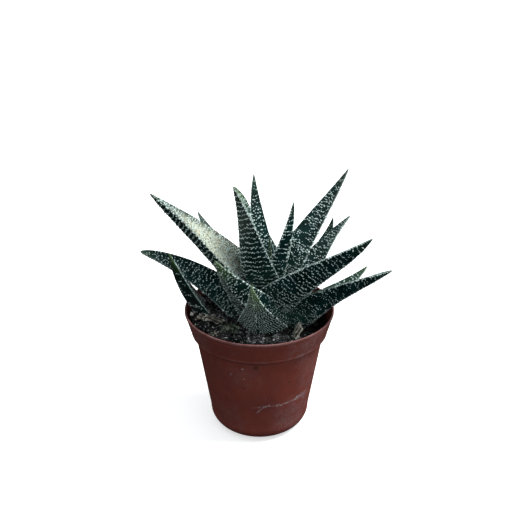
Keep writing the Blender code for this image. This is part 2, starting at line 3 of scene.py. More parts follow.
import bpy
import numpy as np
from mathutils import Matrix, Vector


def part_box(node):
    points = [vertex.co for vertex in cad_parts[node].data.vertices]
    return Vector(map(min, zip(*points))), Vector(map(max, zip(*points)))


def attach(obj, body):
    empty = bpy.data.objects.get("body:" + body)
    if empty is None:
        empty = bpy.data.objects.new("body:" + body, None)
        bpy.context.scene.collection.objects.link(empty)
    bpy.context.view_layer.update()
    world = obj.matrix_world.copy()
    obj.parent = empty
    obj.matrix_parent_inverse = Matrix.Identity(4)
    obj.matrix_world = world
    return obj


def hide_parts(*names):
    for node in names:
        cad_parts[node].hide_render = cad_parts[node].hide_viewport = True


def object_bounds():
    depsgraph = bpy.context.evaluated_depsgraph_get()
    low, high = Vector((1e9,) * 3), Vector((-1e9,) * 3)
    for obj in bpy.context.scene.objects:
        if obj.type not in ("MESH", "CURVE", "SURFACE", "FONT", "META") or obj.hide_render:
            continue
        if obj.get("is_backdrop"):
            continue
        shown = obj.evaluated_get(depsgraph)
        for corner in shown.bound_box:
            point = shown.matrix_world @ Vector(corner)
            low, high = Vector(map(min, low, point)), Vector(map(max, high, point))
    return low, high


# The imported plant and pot, which every piece below is fitted to.
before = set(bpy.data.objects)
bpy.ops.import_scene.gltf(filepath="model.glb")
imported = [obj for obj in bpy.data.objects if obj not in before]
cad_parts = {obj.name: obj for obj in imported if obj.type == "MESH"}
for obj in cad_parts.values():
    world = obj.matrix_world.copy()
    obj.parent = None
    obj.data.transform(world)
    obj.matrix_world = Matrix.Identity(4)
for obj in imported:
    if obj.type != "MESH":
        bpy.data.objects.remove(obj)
cad_box = [list(corner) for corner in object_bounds()]

# Pot
# A thin nursery pot moulded from terracotta-coloured plastic: a round lip, a flared collar over a ledge, a
# tapering body on a rounded heel, and five drain holes in a flat floor. It is dusty and scuffed from use. Its
# sides carry paler patches of painted sheen, and a dark band of painted shade lies under the ledge.
POT_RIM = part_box("pot")[1].x
POT_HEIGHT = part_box("pot")[1].z
POT_WALL = 0.0010
INNER_TOP = POT_RIM - POT_WALL
LIP_HEIGHT = 0.0013
LIP_FOOT = POT_HEIGHT - LIP_HEIGHT
LIP_OVERHANG = 0.0005
LIP_ROUND = 0.0002
COLLAR_HEIGHT = 0.0137
COLLAR_FOOT = 0.0392
COLLAR_EASE = 0.0015
LEDGE_HEIGHT = POT_HEIGHT - COLLAR_HEIGHT
LEDGE_ROUND = 0.0004
BODY_TOP = 0.0369
BODY_FOOT = 0.0292
BODY_EASE = 0.0003
HEEL = 0.0092
FLOOR_RING = 0.006
POT_SIDES = 144
DRAIN_HOLES = 5
DRAIN_CIRCLE = 0.0135
DRAIN_RADIUS = 0.0030
DRAIN_SIDES = 28
DRILL_FROM = -0.002
DRILL_TO = 0.003


def arc(centre, size, start, stop, steps):
    """Points (radius, height) on a round of the given size about centre, between two angles in degrees."""
    angle = np.radians(np.linspace(start, stop, steps))
    return np.stack([centre[0] + size * np.cos(angle), centre[1] + size * np.sin(angle)], 1)


def straight(start, stop, steps):
    """Points spread evenly on the line from start to stop."""
    share = np.linspace(0, 1, steps)[:, None]
    return np.array(start) * (1 - share) + np.array(stop) * share


def mesh_piece(name, points, faces, material, smooth=True, **values):
    """One object at the origin from its points and faces, with values at the points as attributes."""
    mesh = bpy.data.meshes.new(name)
    mesh.from_pydata(np.asarray(points, float).reshape(-1, 3).tolist(), [], [list(face) for face in faces])
    for label, numbers in values.items():
        layer = mesh.attributes.new(label, "FLOAT", "POINT")
        layer.data.foreach_set("value", np.ascontiguousarray(numbers, np.float32))
    mesh.polygons.foreach_set("use_smooth", np.full(len(mesh.polygons), smooth))
    mesh.materials.append(material)
    piece = bpy.data.objects.new(name, mesh)
    bpy.context.scene.collection.objects.link(piece)
    return piece


def closed_rings(rings, sides):
    """Faces between rings of points, with a fan at each end to a pole. The poles are the last two points."""
    place = np.arange(sides)
    after = (place + 1) % sides
    start = (np.arange(rings - 1) * sides)[:, None]
    quads = np.stack([start + place, start + after, start + sides + after, start + sides + place], 2)
    first, last = rings * sides, (rings - 1) * sides
    faces = quads.reshape(-1, 4).tolist()
    faces += np.stack([np.full(sides, first), after, place], 1).tolist()
    faces += np.stack([np.full(sides, first + 1), last + place, last + after], 1).tolist()
    return faces


def turned(profile, sides, centre=(0.0, 0.0)):
    """The profile of (radius, height) points carried round an upright axis, which both its ends lie on."""
    angle = 2 * np.pi * np.arange(sides) / sides
    ring = np.stack([np.cos(angle), np.sin(angle)], 1)
    across = profile[1:-1, 0, None, None] * ring + np.array(centre)
    upright = np.broadcast_to(profile[1:-1, 1, None, None], (*across.shape[:2], 1))
    body = np.concatenate([across, upright], 2).reshape(-1, 3)
    poles = [[*centre, profile[0, 1]], [*centre, profile[-1, 1]]]
    return np.vstack([body, poles]), closed_rings(len(profile) - 2, sides)


def put(tree, kind, inputs=None, **settings):
    """A shader node with its settings, and each input joined to a socket or set to a value."""
    node = tree.nodes.new("ShaderNode" + kind)
    for name, value in settings.items():
        setattr(node, name, value)
    for socket, value in (inputs or {}).items():
        if isinstance(value, bpy.types.NodeSocket):
            tree.links.new(value, node.inputs[socket])
        else:
            node.inputs[socket].default_value = value
    return node


def ramp(tree, value, low, high, first=0.0, last=1.0):
    """A number that goes from first to last as the value goes from low to high, and is level beyond."""
    return put(tree, "MapRange", {0: value, 1: low, 2: high, 3: first, 4: last}).outputs[0]


def times(tree, *factors):
    """The product of masks and numbers, kept between 0 and 1."""
    product = factors[0]
    for factor in factors[1:]:
        product = put(tree, "Math", {0: product, 1: factor}, operation="MULTIPLY", use_clamp=True).outputs[0]
    return product


def new_group(name, **inputs):
    """An empty node group with a Vector input, number inputs with their first values, and one mask out."""
    group = bpy.data.node_groups.new(name, "ShaderNodeTree")
    group.interface.new_socket("Vector", in_out="INPUT", socket_type="NodeSocketVector")
    for label, value in inputs.items():
        group.interface.new_socket(label, in_out="INPUT", socket_type="NodeSocketFloat").default_value = value
    group.interface.new_socket("Mask", in_out="OUTPUT", socket_type="NodeSocketFloat")
    return group, group.nodes.new("NodeGroupInput").outputs, group.nodes.new("NodeGroupOutput").inputs[0]


# Soft patches: noise cut between two levels, from 0 below the low one to 1 above the high one.
PATCHES, entry, leaving = new_group("patches", Scale=200.0, Low=0.4, High=0.6)
cloud = put(PATCHES, "TexNoise", {"Vector": entry["Vector"], "Scale": entry["Scale"], "Detail": 5.0})
PATCHES.links.new(ramp(PATCHES, cloud.outputs["Fac"], entry["Low"], entry["High"]), leaving)

# Specks: small round spots, each cell of the given scale holding one of the given size.
SPECKS, entry, leaving = new_group("specks", Scale=400.0, Size=0.2)
cells = put(SPECKS, "TexVoronoi", {"Vector": entry["Vector"], "Scale": entry["Scale"]})
heart = times(SPECKS, entry["Size"], 0.5)
SPECKS.links.new(ramp(SPECKS, cells.outputs["Distance"], entry["Size"], heart), leaving)


def masked(tree, group, place, **inputs):
    """The output of one of the mask groups at the place that the socket gives."""
    node = tree.nodes.new("ShaderNodeGroup")
    node.node_tree = group
    tree.links.new(place, node.inputs["Vector"])
    for name, value in inputs.items():
        node.inputs[name].default_value = value
    return node.outputs[0]


def mixed(tree, share, first, second):
    """Colour between two colours or colour sockets, by a mask."""
    pair = [value if isinstance(value, bpy.types.NodeSocket) else (*value, 1.0) for value in (first, second)]
    return put(tree, "Mix", {0: share, 6: pair[0], 7: pair[1]}, data_type="RGBA").outputs[2]


def new_material(name, **constants):
    """A material with its Principled shader, the shader's fixed values, and its Object coordinates."""
    made = bpy.data.materials.new(name)
    made.use_nodes = True
    tree = made.node_tree
    shader = tree.nodes["Principled BSDF"]
    for label, value in constants.items():
        shader.inputs[label.replace("_", " ")].default_value = value
    return made, tree, shader, put(tree, "TexCoord").outputs["Object"]


def join_shader(tree, shader, **sockets):
    """Joins each socket to the shader's input of that name."""
    for label, socket in sockets.items():
        tree.links.new(socket, shader.inputs[label.replace("_", " ")])


def stretched(tree, place, stretch):
    """The coordinates scaled along each axis, so that a pattern runs long where the scale is small."""
    return put(tree, "Mapping", {"Vector": place, "Scale": stretch}).outputs[0]


def noise(tree, place, scale, detail):
    """A cloudy number between 0 and 1 at each place."""
    return put(tree, "TexNoise", {"Vector": place, "Scale": scale, "Detail": detail}).outputs["Fac"]


def bumpy(tree, place, scale, detail, distance, strength, **under):
    """Normals of a relief of noise, laid over another relief where under gives its Normal."""
    height = noise(tree, place, scale, detail)
    inputs = {"Height": height, "Distance": distance, "Strength": strength, **under}
    return put(tree, "Bump", inputs).outputs[0]


def near_point(tree, place, point, reach):
    """1 about the point, falling to 0 at the given reach from it."""
    away = put(tree, "VectorMath", {0: place, 1: point}, operation="DISTANCE").outputs["Value"]
    return ramp(tree, away, reach, reach * 0.4)


def above_ledge(tree, height, start, full):
    """A mask that goes from 0 to 1 between two heights, which are measured from the pot's ledge."""
    return ramp(tree, height, LEDGE_HEIGHT + start, LEDGE_HEIGHT + full)


TERRACOTTA = (0.285, 0.0600, 0.0400)
TERRACOTTA_DULL = (0.215, 0.0480, 0.0370)
LIP_PINK = (0.200, 0.066, 0.058)
# Dark grit, and the painted shade under the ledge.
DARK_GRIT_AND_SHADE = (0.080, 0.020, 0.014)
# Pale dust, also the colour of the painted sheen and a painted highlight on the pot.
DUST_AND_SHEEN = (0.36, 0.27, 0.28)
CHALK = (0.66, 0.60, 0.64)
MOSS_STAIN = (0.045, 0.030, 0.016)
# Each mark on the pot is its place, its reach and its amount.
# The larger patches on the collar at right and left, and on the right of the body, are painted sheen where
# light glances off the pot's sides; the faint ones at the front and those at the back are dust.
SHEEN_AND_DUST_PATCHES = (
    ((0.0290, -0.0300, 0.0670), 0.0190, 0.34),
    ((0.0200, -0.0245, 0.0170), 0.0170, 0.26),
    ((0.0310, -0.0180, 0.0430), 0.0170, 0.22),
    ((-0.0340, -0.0240, 0.0690), 0.0130, 0.26),
    ((-0.0080, -0.0350, 0.0490), 0.0130, 0.09),
    ((-0.0180, -0.0250, 0.0150), 0.0150, 0.08),
    ((0.0050, 0.0360, 0.0600), 0.0240, 0.24),
    ((-0.0300, 0.0180, 0.0300), 0.0200, 0.20),
)
STAINS = (
    ((-0.0017, -0.0362, 0.0564), 0.0021, 0.60),
    ((0.0164, -0.0301, 0.0432), 0.0009, 0.80),
    ((-0.0086, -0.0328, 0.0411), 0.0011, 0.50),
    ((0.0240, 0.0280, 0.0500), 0.0016, 0.60),
)
CHALK_SPOTS = (
    ((-0.0090, -0.0348, 0.0549), 0.0007, 0.80),
    ((-0.0083, -0.0340, 0.0478), 0.0006, 0.45),
    ((-0.0154, -0.0316, 0.0495), 0.0009, 0.30),
    ((-0.0010, -0.0312, 0.0236), 0.0007, 0.45),
    ((0.0000, -0.0316, 0.0247), 0.0007, 0.60),
    ((0.0011, -0.0318, 0.0258), 0.0006, 0.50),
    ((-0.0150, 0.0310, 0.0400), 0.0008, 0.60),
)
DUST_ALL_OVER = 0.02
SCUFF_MIDDLE = (0.0140, -0.0285, 0.0277)
SCUFF_REACH = 0.0205
SCUFF_WAVER = 0.0013
SCUFF_CORE = 0.0001
SCUFF_NARROW, SCUFF_BROAD = 0.0008, 0.0034
SCUFF_WIDENS_FROM, SCUFF_WIDENS_TO = 0.0150, 0.0260

pot_plastic, tree, shader, place = new_material("pot_plastic", Specular_IOR_Level=0.28)
axes = put(tree, "SeparateXYZ", {0: place}).outputs
worn = masked(tree, PATCHES, place, Scale=55.0, Low=0.35, High=0.68)
streaks = masked(tree, PATCHES, stretched(tree, place, (1.0, 1.0, 0.12)), Scale=300.0, Low=0.52, High=0.80)
cloudy = masked(tree, PATCHES, place, Scale=240.0, Low=0.30, High=0.66)
dust_and_sheen_mask = DUST_ALL_OVER
for at, reach, amount in SHEEN_AND_DUST_PATCHES:
    near = times(tree, near_point(tree, place, at, reach), amount)
    dust_and_sheen_mask = put(tree, "Math", {0: near, 1: dust_and_sheen_mask}, operation="ADD", use_clamp=True).outputs[0]
fine_grit = masked(tree, SPECKS, place, Scale=1100.0, Size=0.34)
pale_grit = masked(tree, SPECKS, place, Scale=420.0, Size=0.14)
pale_grit_lies = masked(tree, PATCHES, place, Scale=90.0, Low=0.52, High=0.66)
dark_grit = masked(tree, SPECKS, place, Scale=560.0, Size=0.20)
dark_grit_lies = masked(tree, PATCHES, place, Scale=130.0, Low=0.50, High=0.62)
# Painted shade under the ledge, a painted highlight along the collar's foot and a pinker, rubbed lip.
shade_under_ledge = above_ledge(tree, axes["Z"], -0.0026, -0.0005)
below_collar = above_ledge(tree, axes["Z"], 0.0004, 0.0)
foot_highlight_band = above_ledge(tree, axes["Z"], 0.0016, 0.0006)
on_collar = above_ledge(tree, axes["Z"], 0.0, 0.0004)
lip = ramp(tree, axes["Z"], POT_HEIGHT - 1.5 * LIP_HEIGHT, POT_HEIGHT - 0.7 * LIP_HEIGHT)
# The scuff runs level round the front, wavers, breaks into specks, and spreads out towards its right end.
line = ramp(tree, noise(tree, place, 130.0, 4.0), 0.3, 0.7,
            SCUFF_MIDDLE[2] + SCUFF_WAVER, SCUFF_MIDDLE[2] - SCUFF_WAVER)
off_line = put(tree, "Math", {0: axes["Z"], 1: line}, operation="SUBTRACT").outputs[0]
off_line = put(tree, "Math", {0: off_line}, operation="ABSOLUTE").outputs[0]
spread = ramp(tree, axes["X"], SCUFF_WIDENS_FROM, SCUFF_WIDENS_TO, SCUFF_NARROW, SCUFF_BROAD)
scuff = ramp(tree, off_line, spread, SCUFF_CORE)
scuff_lies = near_point(tree, place, SCUFF_MIDDLE, SCUFF_REACH)
scuff_breaks = masked(tree, PATCHES, place, Scale=1100.0, Low=0.45, High=0.58)
colour = mixed(tree, worn, TERRACOTTA, TERRACOTTA_DULL)
for mask, tint in (
    (times(tree, streaks, 0.07), DUST_AND_SHEEN),
    # dust, and painted sheen at the pot's sides
    (times(tree, dust_and_sheen_mask, cloudy), DUST_AND_SHEEN),
    (times(tree, fine_grit, dust_and_sheen_mask, 0.9), CHALK),
    (times(tree, pale_grit, pale_grit_lies, 0.35), CHALK),
    (times(tree, dark_grit, dark_grit_lies, 0.45), DARK_GRIT_AND_SHADE),
    # painted shade in the corner under the ledge
    (times(tree, shade_under_ledge, below_collar, 0.75), DARK_GRIT_AND_SHADE),
    # a painted highlight along the collar's rounded foot
    (times(tree, foot_highlight_band, on_collar, cloudy, 0.22), DUST_AND_SHEEN),
    (lip, LIP_PINK),
    (times(tree, lip, cloudy, 0.30), DUST_AND_SHEEN),
    (times(tree, scuff, scuff_lies, scuff_breaks, 0.95), CHALK),
):
    colour = mixed(tree, mask, colour, tint)
for spots, tint in ((STAINS, MOSS_STAIN), (CHALK_SPOTS, CHALK)):
    for at, reach, amount in spots:
        colour = mixed(tree, times(tree, near_point(tree, place, at, reach), amount), colour, tint)
dents = bumpy(tree, place, 90.0, 1.0, distance=0.0012, strength=0.30)
grain = bumpy(tree, place, 1500.0, 2.0, distance=0.0001, strength=0.35, Normal=dents)
join_shader(tree, shader, Base_Color=colour, Roughness=ramp(tree, worn, 0.0, 1.0, 0.50, 0.66), Normal=grain)

# Up the inside from the middle of the floor, over the lip, and down the outside.
pot_profile = np.vstack([
    [[0.0, POT_WALL], [FLOOR_RING, POT_WALL]],
    straight((2 * FLOOR_RING, POT_WALL), (BODY_FOOT - HEEL, POT_WALL), 3),
    arc((BODY_FOOT - HEEL, HEEL), HEEL - POT_WALL, -80, 0, 9),
    straight((BODY_FOOT - POT_WALL, HEEL + 4 * POT_WALL),
             (BODY_TOP - POT_WALL, LEDGE_HEIGHT - LEDGE_ROUND), 10),
    straight((BODY_TOP - POT_WALL + LEDGE_ROUND, LEDGE_HEIGHT),
             (COLLAR_FOOT - POT_WALL, LEDGE_HEIGHT + POT_WALL), 3),
    straight((COLLAR_FOOT - POT_WALL, LEDGE_HEIGHT + COLLAR_EASE), (INNER_TOP, POT_HEIGHT - COLLAR_EASE), 8),
    arc((POT_RIM - POT_WALL / 2, POT_HEIGHT - POT_WALL / 2), POT_WALL / 2, 180, 0, 9),
    [[POT_RIM, LIP_FOOT + LIP_ROUND]],
    arc((POT_RIM - LIP_ROUND, LIP_FOOT + LIP_ROUND / 2), LIP_ROUND, -15, -90, 3),
    arc((POT_RIM - LIP_OVERHANG + LIP_ROUND, LIP_FOOT - 2 * LIP_ROUND), LIP_ROUND, 100, 175, 3),
    straight((POT_RIM - LIP_OVERHANG, POT_HEIGHT - COLLAR_EASE - POT_WALL),
             (COLLAR_FOOT, LEDGE_HEIGHT + 2 * LEDGE_ROUND), 8),
    arc((COLLAR_FOOT - LEDGE_ROUND, LEDGE_HEIGHT + LEDGE_ROUND), LEDGE_ROUND, 0, -90, 5),
    arc((BODY_TOP + LEDGE_ROUND, LEDGE_HEIGHT - LEDGE_ROUND), LEDGE_ROUND, 90, 180, 5),
    straight((BODY_TOP, LEDGE_HEIGHT - 3 * LEDGE_ROUND), (BODY_FOOT + BODY_EASE, HEEL + 3 * POT_WALL), 16),
    arc((BODY_FOOT - HEEL, HEEL), HEEL, 0, -90, 15),
    straight((3 * FLOOR_RING, 0.0), (2 * FLOOR_RING, 0.0), 3),
    [[FLOOR_RING, 0.0], [0.0, 0.0]],
])
points, faces = turned(pot_profile, POT_SIDES)
pot_shell = mesh_piece("pot_shell", points, [face[::-1] for face in faces], pot_plastic)
drill_profile = np.array([
    [0.0, DRILL_FROM], [DRAIN_RADIUS, DRILL_FROM], [DRAIN_RADIUS, DRILL_TO], [0.0, DRILL_TO],
])
for hole in range(DRAIN_HOLES):
    turn = 2 * math.pi * (hole + 0.5) / DRAIN_HOLES
    centre = (DRAIN_CIRCLE * math.cos(turn), DRAIN_CIRCLE * math.sin(turn))
    drill = mesh_piece("drill", *turned(drill_profile, DRAIN_SIDES, centre), pot_plastic)
    cut = pot_shell.modifiers.new("Drain", "BOOLEAN")
    cut.object = drill
    cut.solver = "EXACT"
    bpy.context.view_layer.update()
    bored = bpy.data.meshes.new_from_object(pot_shell.evaluated_get(bpy.context.evaluated_depsgraph_get()))
    pot_shell.modifiers.clear()
    pot_shell.data = bored
    bpy.data.objects.remove(drill)
pot_shell.data.set_sharp_from_angle(angle=math.radians(50))
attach(pot_shell, "root")
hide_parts("pot")

# Soil
# Old potting mix, mostly dark peat, heaped against the left of the pot and sunk to a hollow at the right. Its
# crumbs, bark bits, hair roots and grit lie loose on the plug that fills the pot.
SOIL_LEVEL = 0.0695
SOIL_INSET = 0.0013
COLLAR_FLARE = POT_RIM - LIP_OVERHANG - COLLAR_FOOT
SOIL_EDGE = COLLAR_FOOT + COLLAR_FLARE * (SOIL_LEVEL - LEDGE_HEIGHT) / COLLAR_HEIGHT - SOIL_INSET
SOIL_MOUNDS = np.array([
    # x, y, height, spread
    (-0.027, -0.011, 0.0045, 0.0095),
    (-0.034, 0.002, 0.0012, 0.0090),
    (-0.005, -0.032, 0.0008, 0.0120),
    (0.031, -0.005, -0.0105, 0.0100),
])
SOIL_RINGS = 84
SOIL_SIDES = 220
SOIL_SINK = 0.0006
SOIL_TOP_INSET = 0.0003
SOIL_SHOULDER_INSET = 0.0011
# count, size and height
BIG_CLODS = (240, 0.0026, 0.0020)
SMALL_CLODS = (800, 0.0010, 0.0009)
CLOD_MIDDLE = 0.0011
CLOD_CONTRAST = 110
CLOD_TONE = 0.05
PALEST_CLOD = 0.42
CLODS_LEFT_CLEAR = 0.15
HOLLOW = SOIL_MOUNDS[3, :2]
SHADE_FADE = 2 * 0.012**2
KEPT_CLEAR = np.array([
    # x, y, reach round a larger scrap that isn't buried
    (-0.0372, -0.0068, 0.0036),
    (-0.0325, -0.0150, 0.0042),
    (-0.0240, -0.0185, 0.0045),
    (0.0205, -0.0265, 0.0034),
])
PEAT_BLACK = (0.0030, 0.0032, 0.0034)
PEAT_BROWN = (0.040, 0.040, 0.040)
PEAT_GREY = (0.560, 0.580, 0.580)


def soil_height(x, y):
    """The level plus a bell curve for each mound and for the hollow."""
    away = (x[..., None] - SOIL_MOUNDS[:, 0]) ** 2 + (y[..., None] - SOIL_MOUNDS[:, 1]) ** 2
    return SOIL_LEVEL + (SOIL_MOUNDS[:, 2] * np.exp(-away / (2 * SOIL_MOUNDS[:, 3] ** 2))).sum(-1)


def in_hollow(x, y, fade=SHADE_FADE):
    """1 in the middle of the hollow, falling off in a bell curve, for the shade that lies in it."""
    return np.exp(-((x - HOLLOW[0]) ** 2 + (y - HOLLOW[1]) ** 2) / fade)


def open_ground(x, y):
    """0 at the middle of each place that is kept clear of crumbs, rising to 1 at its reach."""
    away = np.hypot(x[..., None] - KEPT_CLEAR[:, 0], y[..., None] - KEPT_CLEAR[:, 1]) / KEPT_CLEAR[:, 2]
    return np.clip(away, 0, 1).min(-1) ** 2


def inside_wall(points, inset):
    """The points drawn in to the inset where they would reach the collar's inner side at their height."""
    heights, radii = [LEDGE_HEIGHT + POT_WALL, POT_HEIGHT], [COLLAR_FOOT - POT_WALL, INNER_TOP]
    wall = np.interp(points[..., 2], heights, radii)
    away = np.hypot(points[..., 0], points[..., 1])
    points[..., :2] *= np.minimum(1, (wall - inset) / np.maximum(away, 1e-6))[..., None]
    return points


def scattered(draw, count, inset=0.0005):
    """Seeded places spread evenly over the soil's round."""
    reach = (SOIL_EDGE - inset) * np.sqrt(draw.uniform(0, 1, count))
    turn = draw.uniform(0, 2 * np.pi, count)
    return reach * np.cos(turn), reach * np.sin(turn)


def clods(x, y, draw, count, size, height):
    """The highest of many seeded domes, each a half ball of about the given size."""
    at_x, at_y = scattered(draw, count, 0.0)
    radius = size * draw.uniform(0.6, 1.4, count)
    away = (x[..., None] - at_x) ** 2 + (y[..., None] - at_y) ** 2
    dome = np.sqrt(np.clip(1 - away / radius**2, 0, 1)) * height * draw.uniform(0.4, 1.0, count)
    return dome.max(-1)


def soil_material(name, dark, middle, pale, roughness=0.95, mottle=0.80):
    """Earthy finish whose colour goes from dark to pale by the tone at each point, mottled and bumpy."""
    made, tree, shader, place = new_material(name, Roughness=roughness, Specular_IOR_Level=0.25)
    tone = put(tree, "Attribute", attribute_name="tone").outputs["Fac"]
    colour = mixed(tree, ramp(tree, tone, 0.0, 0.5), dark, middle)
    colour = mixed(tree, ramp(tree, tone, 0.5, 1.0), colour, pale)
    blotch = masked(tree, PATCHES, place, Scale=850.0, Low=0.44, High=0.58)
    colour = mixed(tree, times(tree, blotch, mottle), colour, dark)
    fleck = masked(tree, SPECKS, place, Scale=800.0, Size=0.34)
    fleck_lies = masked(tree, PATCHES, place, Scale=300.0, Low=0.52, High=0.58)
    colour = mixed(tree, times(tree, fleck, fleck_lies, times(tree, tone, 2.0)), colour, pale)
    lumps = bumpy(tree, place, 2200.0, 3.0, distance=0.0003, strength=0.8)
    join_shader(tree, shader, Base_Color=colour, Normal=lumps)
    return made


soil_mix = soil_material("soil_mix", PEAT_BLACK, PEAT_BROWN, PEAT_GREY)
draw = np.random.default_rng(21)
turn = 2 * np.pi * np.arange(SOIL_SIDES) / SOIL_SIDES
reach = SOIL_EDGE * np.linspace(1, 0, SOIL_RINGS, endpoint=False)[:, None]
x, y = reach * np.cos(turn), reach * np.sin(turn)
rise = clods(x, y, draw, *BIG_CLODS) + clods(x, y, draw, *SMALL_CLODS)
rise = rise * (CLODS_LEFT_CLEAR + (1 - CLODS_LEFT_CLEAR) * open_ground(x, y))
top = inside_wall(np.stack([x, y, soil_height(x, y) - SOIL_SINK + rise], 2), SOIL_TOP_INSET)
side_profile = np.vstack([
    arc((BODY_FOOT - HEEL, HEEL), HEEL - SOIL_INSET, -88, 0, 7),
    [[BODY_TOP - SOIL_INSET, LEDGE_HEIGHT], [COLLAR_FOOT - SOIL_SHOULDER_INSET, LEDGE_HEIGHT + COLLAR_EASE]],
])
side = np.stack([
    side_profile[:, :1] * np.cos(turn),
    side_profile[:, :1] * np.sin(turn),
    np.broadcast_to(side_profile[:, 1:], (len(side_profile), SOIL_SIDES)),
], 2)
poles = [[0.0, 0.0, SOIL_INSET], [0.0, 0.0, top[-1, :, 2].mean()]]
plug = np.vstack([side.reshape(-1, 3), top.reshape(-1, 3), poles])
raised = np.concatenate([np.zeros(side[..., 0].size), rise.ravel() - CLOD_MIDDLE, [0, 0]])
# The plug's tone rises with the height of its clods: painted light on their tops and painted shade in the
# ground between them.
soil_top = mesh_piece(
    "soil_top", plug, closed_rings(len(side_profile) + SOIL_RINGS, SOIL_SIDES), soil_mix,
    tone=np.clip(CLOD_TONE + CLOD_CONTRAST * raised, 0.0, PALEST_CLOD),
)
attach(soil_top, "root")
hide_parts("soil")

# The loose crumbs are rough twenty-faced lumps, about a quarter of them pale.
CRUMB_COUNT = 4800
CRUMB_LEAST = 0.00032
CRUMB_RANGE = 0.0011
PALE_CRUMBS = 0.26
PALE_CRUMB_SIZE = 0.80
CRUMB_LIFT = 0.0005
CRUMB_BURIED = 0.0018
CRUMB_INSET = 0.0016
CRUMBS_STOP = 0.6
PALE_TONE = (0.50, 1.0)
DARK_TONE = 0.36
CRUMB_SHADE = 0.95


def icosahedron():
    """The twelve corners and twenty faces of the regular solid."""
    golden = (1 + 5**0.5) / 2
    corners = np.array([(a, b * golden, 0.0) for a in (-1, 1) for b in (-1, 1)])
    corners = np.vstack([corners, np.roll(corners, 1, 1), np.roll(corners, 2, 1)])
    corners /= np.linalg.norm(corners[0])
    side = np.linalg.norm(corners[:, None] - corners[None], axis=2)
    near = (side > 0) & (side < 1.06)
    faces = [(a, b, c) for a in range(12) for b in range(a) for c in range(b)]
    faces = [(a, b, c) for a, b, c in faces if near[a, b] and near[b, c] and near[a, c]]
    return corners, [face if np.linalg.det(corners[list(face)]) > 0 else face[::-1] for face in faces]


def random_turns(draw, count, tilt=1.0):
    """One turning matrix for each piece, from seeded quaternions. A small tilt keeps them nearly flat."""
    q = draw.normal(size=(count, 4)) * (1.0, tilt, tilt, 1.0)
    w, x, y, z = (q / np.linalg.norm(q, axis=1, keepdims=True)).T
    rows = [
        [1 - 2 * (y * y + z * z), 2 * (x * y - z * w), 2 * (x * z + y * w)],
        [2 * (x * y + z * w), 1 - 2 * (x * x + z * z), 2 * (y * z - x * w)],
        [2 * (x * z - y * w), 2 * (y * z + x * w), 1 - 2 * (x * x + y * y)],
    ]
    return np.array(rows).transpose(2, 0, 1)


def repeated(faces, count, corners):
    """The faces of one shape for each of its copies, which have so many corners each."""
    every = np.asarray(faces)[None] + (np.arange(count) * corners)[:, None, None]
    return every.reshape(-1, every.shape[-1])


def copies(shape, faces, places, turns, sizes, draw, ragged):
    """Many copies of one small shape, each stretched, roughened, turned and placed, as one shape."""
    points = shape[None] * (1 + ragged * draw.uniform(-1, 1, (len(places), len(shape), 1)))
    points = np.einsum("nij,nkj->nki", turns, points * sizes[:, None]) + places[:, None]
    return points.reshape(-1, 3), repeated(faces, len(places), len(shape))


corners, facets = icosahedron()
x, y = scattered(draw, CRUMB_COUNT)
is_pale = draw.uniform(0, 1, CRUMB_COUNT) < PALE_CRUMBS
size = CRUMB_LEAST + CRUMB_RANGE * draw.uniform(0, 1, CRUMB_COUNT) ** 3.5
size = size * np.where(is_pale, PALE_CRUMB_SIZE, 1.0)
lift = CRUMB_LIFT + size * draw.uniform(0.0, 0.9, CRUMB_COUNT)
places = np.stack([x, y, soil_height(x, y) + lift], 1)
places[:, 2] -= CRUMB_BURIED * (open_ground(x, y) < CRUMBS_STOP)
places = inside_wall(places, CRUMB_INSET)
sizes = size[:, None] * draw.uniform(0.55, 1.25, (CRUMB_COUNT, 3))
points, faces = copies(corners, facets, places, random_turns(draw, CRUMB_COUNT), sizes, draw, 0.3)
pale_tone = draw.uniform(*PALE_TONE, CRUMB_COUNT)
tone = np.where(is_pale, pale_tone, DARK_TONE * draw.uniform(0, 1, CRUMB_COUNT) ** 1.5)
tone = np.repeat(tone * (1 - CRUMB_SHADE * in_hollow(x, y)), len(corners))
soil_crumbs = mesh_piece("soil_crumbs", points, faces, soil_mix, False, tone=tone)

# The bark bits are small six-sided plates that lie nearly flat.
BARK_BIT_COUNT = 240
BIT_LEAST = 0.0006
BIT_RANGE = 0.0014
BIT_LIFT = 0.0011
BIT_INSET = 0.0022
BIT_SHADE = 0.8
BIT_SHADE_FADE = 0.0003


def as_triangles(faces):
    """The faces with every quad cut in two."""
    halves = [[face] if len(face) == 3 else [face[:3], [face[0], *face[2:]]] for face in faces]
    return sum(halves, [])


plate_turn = np.radians(np.arange(0, 360, 60))
plate = np.stack([np.cos(plate_turn), np.sin(plate_turn), np.ones(6)], 1)
plate = np.vstack([
    plate * (0.9, 0.8, 0.5), plate * (1.0, 1.0, 0.0), plate * (0.85, 0.8, -0.5), [[0, 0, 0.6], [0, 0, -0.5]],
])
plate_faces = [face[::-1] for face in as_triangles(closed_rings(3, 6))]
x, y = scattered(draw, BARK_BIT_COUNT, 0.0015)
length = BIT_LEAST + BIT_RANGE * draw.uniform(0, 1, BARK_BIT_COUNT) ** 1.5
sizes = np.stack([length, length * draw.uniform(0.3, 0.6, BARK_BIT_COUNT), length * 0.5], 1)
places = inside_wall(np.stack([x, y, soil_height(x, y) + BIT_LIFT], 1), BIT_INSET)
points, faces = copies(plate, plate_faces, places, random_turns(draw, BARK_BIT_COUNT, 0.45), sizes, draw, 0.2)
tone = draw.uniform(0.3, 0.95, BARK_BIT_COUNT) * (1 - BIT_SHADE * in_hollow(x, y, BIT_SHADE_FADE))
tone = np.repeat(tone, len(plate))
soil_bark_bits = mesh_piece("soil_bark_bits", points, faces, soil_mix, False, tone=tone)

